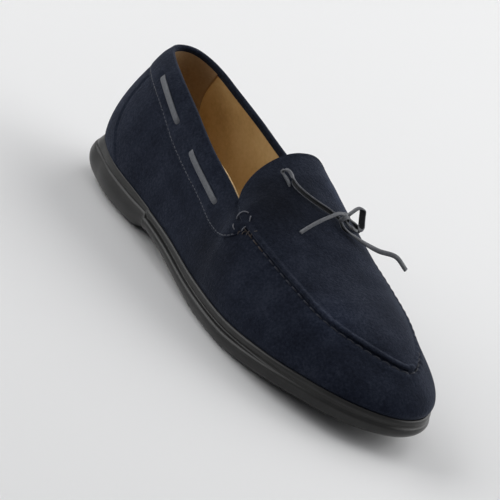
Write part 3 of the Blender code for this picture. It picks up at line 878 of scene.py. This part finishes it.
def band_section(s):
    """Closed section of the folded collar band at a signed ring place, lateral positive."""
    r = np.mod(s, 2.0)
    x, depth = rim(r)[..., 0], wall_depth(r)
    wrap = spread(1 - ease(141.0, 146.5, x))
    low = band_low(x)
    top = np.full_like(r, ALMOST_RIM)
    crest, normal, up = rim(r), wall_normal(r, top), wall_up(r, top)
    seam = crest - normal * 0.6

    def gather(point):
        return seam + (point - seam) * wrap

    def inside(share):
        return np.minimum(1 - turned_in * share / depth, ALMOST_RIM)

    outer = [over_wall(r, w, band_lift(r, w))
             for w in (low + (ALMOST_RIM - low) * c for c in np.linspace(0.0, 1.0, 34) ** 1.15)]
    crown = band_lift(r, top)
    middle = crest - normal * WALL / 2
    arc = []
    for turn in np.linspace(0.0, math.pi, 12)[1:-1]:
        reach = WALL / 2 + crown * (0.5 + 0.5 * math.cos(turn)) + BAND_TOP * (0.5 - 0.5 * math.cos(turn))
        arc.append(gather(middle + normal * spread(reach * math.cos(turn)) + up * math.sin(turn) * 1.3))
    turned_in = FOLD_DEPTH * (1 - ease(128.0, 143.0, x)) + 0.8
    inner = []
    for share in np.linspace(0.0, 1.0, 9):
        proud = BAND_TOP * math.sqrt(max(1 - max(share - 0.75, 0.0) ** 2 * 16, 0.0))
        inner.append(gather(over_wall(r, inside(share), -(WALL + proud))))
    back = [gather(over_wall(r, inside(share), -WALL)) for share in (0.9, 0.5, 0.0)]
    over = [gather(middle + normal * math.cos(turn) * WALL / 2 + up * math.sin(turn) * 0.3)
            for turn in (0.75 * math.pi, 0.5 * math.pi, 0.25 * math.pi)]
    down = [over_wall(r, low + (ALMOST_RIM - low) * c, -0.05) for c in (0.995, 0.66, 0.33, 0.0)]
    return np.stack(outer + arc + inner + back + over + down, axis=1)


def collar_band():
    end = float(station(RIM, BAND_EDGE[-1].x))
    grid = band_section(np.linspace(-end, end, 560))
    rows, columns = grid.shape[:2]
    body = [list(f) for f in grid_faces(rows, columns, False, True)]
    caps = [list(range(columns)), list(range((rows - 1) * columns, rows * columns))]
    piece("collar_band", grid, body + caps, [SUEDE_FINISH], "navy_suede")


quarters()
apron()
collar_band()


# ---------------------------------------------------------------- lining and sock
EDGE_START = 108.0     # the lining's edge begins to show here
EDGE_RISE = 1.15       # and stands this far over the collar


def wall_lining():
    r = (np.arange(420) / 420 * 2.0)[:, None]
    w_up = np.linspace(0.0, 0.995, 34)[None, :]
    outer_r, outer_w = np.broadcast_arrays(r, w_up)
    seamed = ease(THROAT_X - 4.0, THROAT_X + 4.0, rim(outer_r)[..., 0])
    outer = over_wall(outer_r, outer_w, -(SUEDE + 0.1 + 0.9 * seamed))
    inner = over_wall(outer_r, outer_w[:, ::-1], -WALL)
    ring_piece("lining_walls", np.concatenate([outer, inner], axis=1), [LINING_FINISH], "tan_leather")


def apron_lining():
    across = -np.cos(math.pi * np.arange(61) / 60) * 0.985
    t = np.linspace(THROAT, 0.995, 70)
    reach = 1 - 0.045 * ease(THROAT_X + 2.0, THROAT_X + 16.0, rim(t)[..., 0])
    grid, normal = apron_grid(t, np.linspace(0.82, 0.0, 8)[:-1], across, reach[:, None])
    slab_piece("lining_apron", grid - normal * (SUEDE + 0.1), grid - normal * WALL,
               [LINING_FINISH], "tan_leather")


GRIP_EDGE = [          # the heel grip's edge inside the collar, from the sock up
    WallSeam(0.00, 56.0),
    WallSeam(0.10, 48.0),
    WallSeam(0.25, 32.0),
    WallSeam(0.39, 25.0),
    WallSeam(0.54, 22.5),
    WallSeam(0.74, 24.2),
    WallSeam(1.00, 30.0),
]


def lining_edge():
    """The lining's edge, a little proud of the collar where its sides run down to the apron: partly the real
    folded edge, partly painted light reflected from the tan lining.
    """
    x = np.linspace(EDGE_START, THROAT_X + 1.0, 60)
    knots = [EDGE_START, EDGE_START + 12.0, 140.0, THROAT_X + 1.0]
    rise = np.interp(x, knots, [0.0, EDGE_RISE, EDGE_RISE, 0.5])
    runs = []
    for side in (1.0, -1.0):
        r = np.mod(side * station(RIM, x), 2.0)
        top = np.full_like(r, ALMOST_RIM)
        runs.append(rim(r) - wall_normal(r, top) * (WALL - 0.1) + wall_up(r, top) * spread(rise))
    thread("lining_edge", runs, 0.55, LINING_EDGE_AND_REFLECTION, "tan_leather")


def heel_grip():
    """The inner heel piece, laid over the lining, with its curved front edge."""
    w = np.linspace(0.02, 0.97, 60)
    edge = station(RIM, smooth(column(GRIP_EDGE, "w"), column(GRIP_EDGE, "x"), w))
    share = np.linspace(-1.0, 1.0, 120)
    r = np.mod(share[:, None] * edge[None, :], 2.0)
    grid_w = np.broadcast_to(w[None, :], r.shape)
    normal, point = wall_normal(r, grid_w), wall_point(r, grid_w)
    rim_fall = np.minimum((1 - np.abs(share))[:, None] * edge[None, :] * 150.0, 0.8)
    lift = WALL + 0.05 + 0.55 * np.sqrt(1 - (1 - rim_fall / 0.8) ** 2)
    slab_piece("lining_heel_grip", point - normal * spread(lift), point - normal * (WALL - 0.2),
               [HEEL_GRIP_TONE_AND_SHADE], "tan_leather")


def sock():
    """The insole's cover: leather over a soft pad, a little dished where the foot goes."""
    t = np.linspace(0.0, 1.0, 160)
    inward = -(WALL + 0.6)
    lateral = feather(t) + outward(t) * inward
    medial = feather(2.0 - t) + outward(2.0 - t) * inward
    share = (1 - np.cos(math.pi * np.arange(41) / 40)) / 2
    grid = lateral[:, None, :] + (medial - lateral)[:, None, :] * share[None, :, None]
    rim_gap = np.minimum(share, 1 - share)[None, :] * np.linalg.norm(medial - lateral, axis=-1)[:, None]
    base = grid + UP * (0.3 - SEAT_DEPTH)
    crown = INSOLE_THICKNESS * (0.72 + 0.28 * np.sqrt(np.clip(rim_gap / 2.0, 0, 1)))
    dish = 0.35 * ease(4.0, 18.0, rim_gap)
    top = base + UP * spread(crown - dish)
    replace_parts(slab_piece("sock", top, base, [SOCK_FINISH], "tan_leather"), "insole")


wall_lining()
apron_lining()
lining_edge()
heel_grip()
sock()

# ---------------------------------------------------------------- sole
FORE_BLUNT, HEEL_BLUNT = 152.0, 62.0
FORE_MARGIN, HEEL_MARGIN = 11.0, 9.0
WAVE_HEIGHT, WAVE_LENGTH, WAVE_FADE = 2.2, 21.0, 14.0
RECESS = 1.2
RECESS_ROUNDING = 0.25 # the sole is drawn up this far along the recesses' sides
BLUNT_STEP = 0.0012    # a recess's blunt wall rises over this share of the way along
MARGIN_COLUMNS, RECESS_COLUMNS = 7, 25
TREAD_SINK = 0.35      # the net lies this far below the studs and the sole's frame


def rounded(lines, times=2):
    """Lines of points with their corners cut, along the second axis."""
    for _ in range(times):
        first, second = lines[:, :-1], lines[:, 1:]
        cut = np.stack([first * 0.75 + second * 0.25, first * 0.25 + second * 0.75], axis=2)
        cut = cut.reshape(lines.shape[0], -1, 3)
        lines = np.concatenate([lines[:, :1], cut, lines[:, -1:]], axis=1)
    return lines


def margin(x):
    return HEEL_MARGIN + (FORE_MARGIN - HEEL_MARGIN) * ease(HEEL_BLUNT + 10, FORE_BLUNT - 10, x)


def insert_edge(r, grow=0.0):
    """The line that the tread inserts keep from the feather line."""
    foot = feather(r)
    return foot + outward(r) * spread(grow - margin(foot[..., 0]))


def wave_shift(points, blunt_x, toward):
    fade = 1 - ease(0.0, WAVE_FADE, np.abs(points[..., 0] - blunt_x))
    return toward * WAVE_HEIGHT * np.cos(2 * math.pi * points[..., 1] / WAVE_LENGTH) * fade


def waved(points):
    """Both inserts' blunt ends are wavy, and the sole's grid follows them."""
    heel_x = insert_edge(station(FEATHER, HEEL_BLUNT))[0]
    fore_x = insert_edge(station(FEATHER, FORE_BLUNT))[0]
    moved = points.copy()
    moved[..., 0] += wave_shift(points, heel_x, 1.0) + wave_shift(points, fore_x, -1.0)
    return moved


def between(first, last, count):
    """Even steps across from each point of a line to its partner on another."""
    share = np.linspace(0.0, 1.0, count)[None, :, None]
    return first[:, None] * (1 - share) + last[:, None] * share


def two_sides(line, count):
    """The lateral and the medial run, heel to toe, of a line that goes all round the sole."""
    return line[:count], np.concatenate([line[:1], line[:count - 1:-1], line[count - 1:count]])


def sole_stations():
    """Places from heel to toe, with more at the inserts' blunt ends and the heel block's end."""
    heel_t, fore_t = float(station(FEATHER, HEEL_BLUNT)), float(station(FEATHER, FORE_BLUNT))
    even = np.linspace(0.0, 1.0, 260)
    special = np.array([heel_t, heel_t + BLUNT_STEP, fore_t - BLUNT_STEP, fore_t])
    block = station(FEATHER, np.linspace(BLOCK_END[0] - 0.5, BLOCK_END[1] + 0.5, 6))
    kept = even[np.abs(even[:, None] - special[None, :]).min(axis=1) > 0.002]
    t = np.sort(np.concatenate([kept, special, block]))
    return t, (t <= heel_t) | (t >= fore_t)


def underside(t, in_insert, lateral, medial):
    """The sole from below, with a recess for each insert between two margins."""
    under = waved(np.concatenate([
        between(lateral, insert_edge(t), MARGIN_COLUMNS),
        between(insert_edge(t, -0.35), insert_edge(2.0 - t, -0.35), RECESS_COLUMNS),
        between(insert_edge(2.0 - t), medial, MARGIN_COLUMNS)], axis=1))
    under[:, 0], under[:, -1] = lateral, medial
    under[..., 2] = ground(under[..., 0])
    past_recess = MARGIN_COLUMNS + RECESS_COLUMNS
    under[:, MARGIN_COLUMNS - 1, 2] += RECESS_ROUNDING * in_insert
    under[:, past_recess, 2] += RECESS_ROUNDING * in_insert
    under[:, MARGIN_COLUMNS:past_recess, 2] += RECESS * in_insert[:, None]
    return under


def sole_body():
    t, in_insert = sole_stations()
    around = np.concatenate([t, 2.0 - t[-2:0:-1]])
    profile = rounded(np.stack([sole_ring(around, edge) for edge in SOLE_EDGE], axis=1))
    seat = between(*two_sides(profile[:, 0], len(t)), 9)
    under = underside(t, in_insert, *two_sides(profile[:, -1], len(t)))
    seat_start = profile.shape[0] * profile.shape[1]
    under_start = seat_start + seat.shape[0] * seat.shape[1]
    points = np.concatenate([grid.reshape(-1, 3) for grid in (profile, seat, under)])
    faces = np.concatenate([grid_faces(*profile.shape[:2], closed_rows=True),
                            grid_faces(*seat.shape[:2]) + seat_start,
                            grid_faces(*under.shape[:2]) + under_start])
    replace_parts(piece("sole_body", points, faces, [RUBBER_FINISH], "grey_rubber", sharp=50.0), "sole_unit")


StudRow = namedtuple("StudRow", "x first_y count step")
STUD_ROWS = [          # rows of double rings under the ball, from its back to the toe
    StudRow(172.0, -30.0, 3, 25.0),
    StudRow(196.5, -27.0, 3, 25.0),
    StudRow(221.0, -24.0, 3, 23.5),
    StudRow(245.0, -12.0, 2, 24.0),
]
STUD_RADIUS, STUD_INNER = 8.6, 4.3


def tread_piece(name, ends, toward, rows, counts):
    """An insert of black rubber: a net with rows of raised double rings."""
    t = np.linspace(ends[0], ends[1], counts[0])
    grid = between(insert_edge(t, -0.3), insert_edge(2.0 - t, -0.3), counts[1])
    blunt_x = insert_edge(np.array(ends[0] if toward < 0 else ends[1]))[0]
    grid[..., 0] += wave_shift(grid, blunt_x, toward)
    sink = np.full(grid.shape[:2], TREAD_SINK)
    border = np.linalg.norm(grid - grid[:, :1], axis=-1)
    border = np.minimum(border, np.linalg.norm(grid - grid[:, -1:], axis=-1))
    for row in rows:
        for k in range(row.count):
            far = np.hypot(grid[..., 0] - row.x, grid[..., 1] - (row.first_y + k * row.step))
            ring = np.maximum(hump(STUD_RADIUS, 0.9, far), hump(STUD_INNER, 0.8, far))
            sink = np.minimum(sink, TREAD_SINK * (1 - np.minimum(ring * 1.15, 1.0)))
    frame_edge = 1 - ease(0.0, 1.6, border)
    sink = sink * (1 - frame_edge * 0.6)
    face = grid.copy()
    face[..., 2] = ground(grid[..., 0]) + sink
    back = grid.copy()
    back[..., 2] = ground(grid[..., 0]) + RECESS - 0.1
    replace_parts(slab_piece(name + "_face", face, back, [TREAD_FINISH], "black_rubber", sharp=40.0), name)


sole_body()
tread_piece("forefoot_tread", (float(station(FEATHER, FORE_BLUNT)), 1.0), -1.0, STUD_ROWS, (300, 150))
tread_piece("heel_tread", (0.0, float(station(FEATHER, HEEL_BLUNT))), 1.0, [], (90, 80))


# ---------------------------------------------------------------- stitches and tacks
Spot = namedtuple("Spot", "x drop lift")
Arc = namedtuple("Arc", "first last lift")
TACK_MIDDLE = Spot(158.0, 1.0, 0.2)
TACK_REACH = 4.6       # the light threads lie on a ring of this radius round it
TACK_ARCS = [          # from angle to angle round the ring, and how high each thread stands
    Arc(165.0, 250.0, 1.4),
    Arc(145.0, 80.0, 1.7),
    Arc(285.0, 320.0, 1.0),
    Arc(-15.0, 25.0, 1.2),
]
FAN_START = Spot(161.0, 6.0, -0.2)
FAN_THREADS = 4        # short brown threads that spread below the ring
FAN_STEP_X, FAN_STEP_DROP = 2.6, -1.8
FAN_LENGTH, FAN_LIFT = 3.0, 1.0


def tack_arc(arc):
    """A thread that comes up out of the suede, follows the ring and goes down again."""
    share = np.linspace(0.0, 1.0, 6)
    turn = np.radians(arc.first + (arc.last - arc.first) * share)
    x = TACK_MIDDLE.x + TACK_REACH * np.cos(turn)
    drop = TACK_MIDDLE.drop + TACK_REACH * np.sin(turn)
    lift = TACK_MIDDLE.lift + arc.lift * np.sin(math.pi * share)
    return [Spot(*spot) for spot in zip(x, drop, lift)]


def fan_thread(number):
    x, drop = FAN_START.x + FAN_STEP_X * number, FAN_START.drop + FAN_STEP_DROP * number
    return [Spot(x + 0.5 * share, drop - FAN_LENGTH * share,
                 FAN_START.lift + FAN_LIFT * math.sin(math.pi * share))
            for share in (0.0, 0.5, 1.0)]


def seam_point(side, spot):
    """A point near the apron's seam: its drop runs down the wall, or onto the apron if negative."""
    t = station(RIM, spot.x)
    r = np.mod(side * t, 2.0)
    if spot.drop >= 0:
        return over_wall(r, 1 - spot.drop / wall_depth(r), spot.lift)
    v = -side * (1 + 2 * spot.drop / np.linalg.norm(rim(t) - rim(2 - t)))
    return over_apron(t, v, spot.lift)


def seam_stitches():
    """Thick hand stitches that lie end to end in the seam's groove."""
    count = int(seam_length[-1] / SEAM_STITCH)
    brown, navy = [], []
    for k in range(3, count - 2):
        middle = (k + 0.5) * SEAM_STITCH
        reach = SEAM_STITCH * 0.40
        at = np.interp(middle + reach * np.array([-1.0, -0.8, 0.0, 0.8, 1.0]), seam_length, seam_places)
        w = 1 - 1.0 / wall_depth(at)
        lift = np.array([-1.0, -0.4, 0.15, -0.4, -1.0])
        run = through(over_wall(at, w, lift), 3)
        (brown if min(k, count - 1 - k) < BROWN_STITCHES else navy).append(run)
    thread("seam_stitches", navy, 0.42, NAVY_THREAD, "navy_suede")
    thread("seam_stitches_throat", brown, 0.36, BROWN_THREAD, "navy_suede")


def seam_allowance():
    """The turned-in edges of the quarters and the apron, which close the seam's groove from inside."""
    at = seam_places[seam_line[:, 0] > THROAT_X + 4.0]
    t, v = np.where(at > 1.0, 2.0 - at, at), np.where(at > 1.0, 1.0, -1.0)
    beside, above = wall_normal(at, np.full_like(at, ALMOST_RIM)), apron_normal(t, v)
    shallow = rim(at) - unit(beside + above) * 1.6
    deep = rim(at) - beside * 2.0 - above * 1.7
    thread("seam_allowance", [shallow, deep], ALLOWANCE_RADIUS, SUEDE_FINISH, "navy_suede", sides=8)


def tacks():
    for side, word in SIDES:
        loops = [through([seam_point(side, spot) for spot in tack_arc(arc)], 3) for arc in TACK_ARCS]
        thread(f"tack_loops_{word}", loops, 0.36, TACK_THREAD, "navy_suede")
        fan = [through([seam_point(side, spot) for spot in fan_thread(k)], 4) for k in range(FAN_THREADS)]
        thread(f"tack_fan_{word}", fan, 0.34, BROWN_THREAD, "navy_suede")


def band_stitches():
    """Machine stitches along the collar band's lower edge, each a little out of line."""
    end = float(station(RIM, 161.0))
    s = np.linspace(-end, end, 900)
    r = np.mod(s, 2.0)
    line = wall_point(r, band_low(rim(r)[..., 0]) + BAND_STITCH_IN / wall_depth(r))
    along = lengths_along(line)
    dice = np.random.default_rng(7)
    runs = []
    for start in np.arange(1.0, along[-1] - BAND_STITCH, BAND_STITCH):
        share = np.array([0.0, 0.15, 0.5, 0.85, 1.0])
        at = np.interp(start + share * BAND_STITCH * dice.uniform(0.60, 0.85), along, s)
        r_at = np.mod(at, 2.0)
        tilt = dice.uniform(-0.45, 0.45) * (share - 0.5) + dice.uniform(-0.12, 0.12)
        w_at = band_low(rim(r_at)[..., 0]) + (BAND_STITCH_IN + tilt) / wall_depth(r_at)
        lift = band_lift(r_at, w_at) + np.array([-0.35, 0.05, 0.15, 0.05, -0.35]) + dice.uniform(-0.16, 0.06)
        runs.append(over_wall(r_at, w_at, lift))
    thread("band_stitches", runs, 0.34, GREY_THREAD, "navy_suede", sides=5)


seam_stitches()
seam_allowance()
tacks()
band_stitches()


# ---------------------------------------------------------------- laces
def lace_bars():
    for side, word in SIDES:
        for name, (first, last) in BARS.items():
            share = np.array([-0.02, 0.0, 0.03, 0.10, 0.30, 0.50, 0.70, 0.90, 0.97, 1.0, 1.02])
            rise = np.array([-1.6, -0.4, 0.35, 0.62, 0.66, 0.66, 0.66, 0.62, 0.35, -0.4, -1.6])
            x = first.x + (last.x - first.x) * share
            drop = first.drop + (last.drop - first.drop) * share
            r = np.mod(side * station(RIM, x), 2.0)
            w = 1 - drop / wall_depth(r)
            normal = wall_normal(r, w)
            line = wall_point(r, w) + normal * spread(band_lift(r, w) + rise)
            line, facing = resample(through(line), 0.8, through(normal))
            made = ribbon(f"lace_{word}_{name}", line, facing, SHADED_BARS_LACE, "grey_leather")
            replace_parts(made, f"lace_bar_{word}_{name}")


Curl = namedtuple("Curl", "bend width")
ROLLED = Curl(1.90, 2.6)             # the lace's edges nearly meet on its flesh side
CURLED = Curl(1.40, 3.1)
TROUGH = Curl(1.50, 3.8)
OPEN = Curl(0.30, 3.8)
UPWARD = (0, 0, 1)
Lay = namedtuple("Lay", "x across height face curl", defaults=(UPWARD, CURLED))
TOWARD = (0.1, -0.9, 0.2)            # on edge, the grain side to the lateral side
FLESH_OUT = (-0.42, 0.70, -0.45)     # the flesh side to the lateral side
GRAIN_OUT = (0.55, -0.75, 0.40)
KNOT = Lay(177.0, 0.29, 4.4)


def stretch(first, last, steps, bow=0.0):
    """Even steps from one place to another, bowed to the medial side, facing and curled as the first."""
    share = np.linspace(0.0, 1.0, steps)
    x = first.x + (last.x - first.x) * share
    across = first.across + (last.across - first.across) * share + bow * 4 * share * (1 - share)
    height = first.height + (last.height - first.height) * share
    return [first._replace(x=a, across=b, height=c) for a, b, c in zip(x, across, height)]


LATERAL_LACE = [       # out of the apron, back and over, through the knot and over the medial side
    Lay(152.5, -0.32, -1.4, TOWARD, ROLLED),
    Lay(151.5, -0.32, 0.8, TOWARD, ROLLED),
    Lay(148.0, -0.35, 1.2, TOWARD, ROLLED),
    Lay(144.5, -0.38, 1.7, (-0.8, -0.6, -0.1), ROLLED),
    Lay(143.5, -0.38, 2.8, (-1, -0.2, 0), ROLLED),
    Lay(145.0, -0.32, 3.8, UPWARD, ROLLED),
    Lay(148.0, -0.28, 3.2, (0, 0.2, 0.9), ROLLED),
    *stretch(Lay(153.0, -0.25, 2.2, FLESH_OUT, TROUGH), Lay(172.0, 0.11, 3.0), 6, -0.06),
    Lay(177.0, 0.23, 3.4, (-0.3, 0.8, 0), ROLLED),
    Lay(183.0, 0.27, 2.2, (-0.2, 0.8, 0.3)),
    Lay(188.0, 0.41, 2.6, (0, 0.3, 1)),
    Lay(193.0, 0.52, 4.2, (0.3, -0.2, 1)),
    Lay(197.0, 0.70, 6.5, GRAIN_OUT),
    Lay(201.0, 0.84, 12.0, GRAIN_OUT),
    Lay(206.0, 0.96, 13.5, GRAIN_OUT),
]
MEDIAL_LACE = [        # out of the apron, round the loop, round the knot and down the lateral side
    Lay(156.0, 0.89, -1.4),
    Lay(157.0, 0.91, 0.6),
    Lay(164.0, 0.94, 0.6),
    Lay(170.0, 0.90, 0.6),
    Lay(175.0, 0.78, 0.7),
    Lay(179.5, 0.60, 1.0),
    Lay(180.5, 0.50, 1.5),
    Lay(180.0, 0.40, 2.4, UPWARD, ROLLED),
    Lay(177.5, 0.33, 4.2, (-0.5, 0.2, 0.8), ROLLED),
    *stretch(Lay(176.0, 0.37, 6.4, (-0.5, -0.5, 0.6)), Lay(173.5, 0.47, 10.2), 3),
    Lay(173.5, 0.51, 11.4, (-0.5, 0.3, 0.9)),
    *stretch(Lay(174.5, 0.55, 10.6, (-0.5, 0.8, -0.3), OPEN), Lay(181.5, 0.57, 5.3), 4),
    Lay(183.5, 0.55, 4.4, (0.3, 0.8, -0.3)),
    Lay(183.5, 0.51, 4.4, (0.5, 0.4, 0.5)),
    Lay(181.5, 0.48, 4.7, (-0.3, 0.7, 0.1)),
    Lay(179.0, 0.41, 5.0, (-0.2, 0.6, 0.6), ROLLED),
    Lay(177.0, 0.30, 6.4, UPWARD, ROLLED),
    *stretch(Lay(176.5, 0.17, 7.0, (0, -0.2, 1), ROLLED), Lay(183.0, -0.50, 2.0), 6),
]


def above_apron(lay):
    return over_apron(station(RIM, lay.x), np.array(lay.across), lay.height)


def lay_face(lay):
    """The way a lace's grain side looks, from the apron's own ahead, medial and up."""
    t, v = station(RIM, lay.x), np.array(lay.across)
    up = apron_normal(t, v)
    ahead = unit(apron_point(t + 0.01, v) - apron_point(t - 0.01, v))
    medial = np.cross(up, ahead)
    return unit(ahead * lay.face[0] + medial * lay.face[1] + up * lay.face[2])


def lace_line(route):
    """The lace's line, the way its grain side faces and how it curls, at even steps."""
    line = through([above_apron(lay) for lay in route])
    facing = through([lay_face(lay) for lay in route])
    ahead = tangents(line)
    facing = unit(facing - ahead * (facing * ahead).sum(axis=-1, keepdims=True))
    return resample(line, 0.6, facing, through([lay.curl for lay in route]))


def lace(name, route, nodes):
    line, facing, curl = lace_line(route)
    made = ribbon(name, line, facing, LACE, "grey_leather", width=curl[:, 1], bend=curl[:, 0])
    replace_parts(made, *nodes)


def knot_wraps():
    """A turn and a half of lace drawn tight round the strands."""
    centre = above_apron(KNOT)
    up = lay_face(KNOT)
    axis = lay_face(KNOT._replace(face=(0.96, 0.28, 0)))
    side = np.cross(up, axis)
    turn = np.linspace(-2.3 * math.pi, 0.78 * math.pi, 90)
    travel = np.linspace(2.6, -1.0, 90)
    reach = 2.4 + 0.4 * (turn - turn[0]) / (turn[-1] - turn[0])
    spin = up * spread(np.sin(turn) * (reach - 0.2)) + side * spread(np.cos(turn) * (reach + 0.2))
    line = centre + axis * travel[:, None] + spin
    line, facing = resample(line, 0.5, spin)
    made = ribbon("lace_knot_wraps", line, facing, LACE, "grey_leather",
                  width=2.5, thickness=0.9, bend=0.8)
    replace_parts(made, "lace_knot")
    return made


lace_bars()
knot = knot_wraps()
lace("lace_end_lateral", LATERAL_LACE, ("lace_strand_lateral", "lace_tail_toe"))
lace("lace_end_medial", MEDIAL_LACE, ("lace_strand_medial", "lace_loop", "lace_tail_lateral"))


# ---------------------------------------------------------------- floor, light and camera
CAMERA_ANGLES = (43.93, 23.03, 24.63)    # azimuth, elevation and roll in degrees
CAMERA_AIM = (0.0065, -0.018, 0.040)     # metres
CAMERA_DISTANCE = 1.914                  # metres
CAMERA_LENS = 244.0                      # millimetres
LIGHT_AIM = (0.0, 0.0, 0.03)
Light = namedtuple("Light", "name size power place")
LIGHTS = [             # round lamps: metres and watts
    Light("left", 1.8, 21.5, (-1.3, -1.25, 1.1)),
    Light("right", 1.8, 14.0, (1.3, 1.25, 1.1)),
    Light("behind", 2.4, 26.0, (0.0, 1.7, 1.1)),
    Light("heel_side", 1.2, 9.0, (-1.7, 0.0, 1.1)),
    Light("overhead", 1.6, 4.5, (0.0, 0.0, 2.0)),
]


def stage_floor():
    mesh = bpy.data.meshes.new("floor")
    size = 4.0
    corners = [(-size, -size, 0), (size, -size, 0), (size, size, 0), (-size, size, 0)]
    mesh.from_pydata(corners, [], [(0, 1, 2, 3)])
    floor = bpy.data.objects.new("floor", mesh)
    bpy.context.scene.collection.objects.link(floor)
    paint = Nodes("floor_paper", (0.81, 0.81, 0.81), 0.9)
    mesh.materials.append(paint.material)


def area_light(light):
    lamp = bpy.data.lights.new(light.name, "AREA")
    lamp.shape = "DISK"
    lamp.size = light.size
    lamp.energy = light.power
    made = bpy.data.objects.new(light.name, lamp)
    made.location = light.place
    made.rotation_euler = (Vector(LIGHT_AIM) - Vector(light.place)).to_track_quat("-Z", "Y").to_euler()
    bpy.context.scene.collection.objects.link(made)


def stage_camera():
    """Looks down on the toe's lateral side, rolled so that the shoe points down and to the right."""
    data = bpy.data.cameras.new("camera")
    data.lens = CAMERA_LENS
    data.sensor_width = 36.0
    data.clip_end = 50.0
    camera = bpy.data.objects.new("camera", data)
    azimuth, elevation, roll = (math.radians(angle) for angle in CAMERA_ANGLES)
    back = Vector((math.sin(azimuth) * math.cos(elevation), -math.cos(azimuth) * math.cos(elevation),
                   math.sin(elevation)))
    camera.location = Vector(CAMERA_AIM) + back * CAMERA_DISTANCE
    look = (-back).to_track_quat("-Z", "Y").to_matrix() @ Matrix.Rotation(roll, 3, "Z")
    camera.rotation_euler = look.to_euler()
    bpy.context.scene.collection.objects.link(camera)
    bpy.context.scene.camera = camera


def studio_world():
    world = bpy.data.worlds.new("studio")
    world.use_nodes = True
    sky = world.node_tree.nodes["Background"]
    sky.inputs["Color"].default_value = (0.93, 0.95, 1.0, 1.0)
    sky.inputs["Strength"].default_value = 0.15
    bpy.context.scene.world = world


stage_floor()
studio_world()
for light in LIGHTS:
    area_light(light)
stage_camera()
bpy.context.scene.view_settings.view_transform = "Standard"
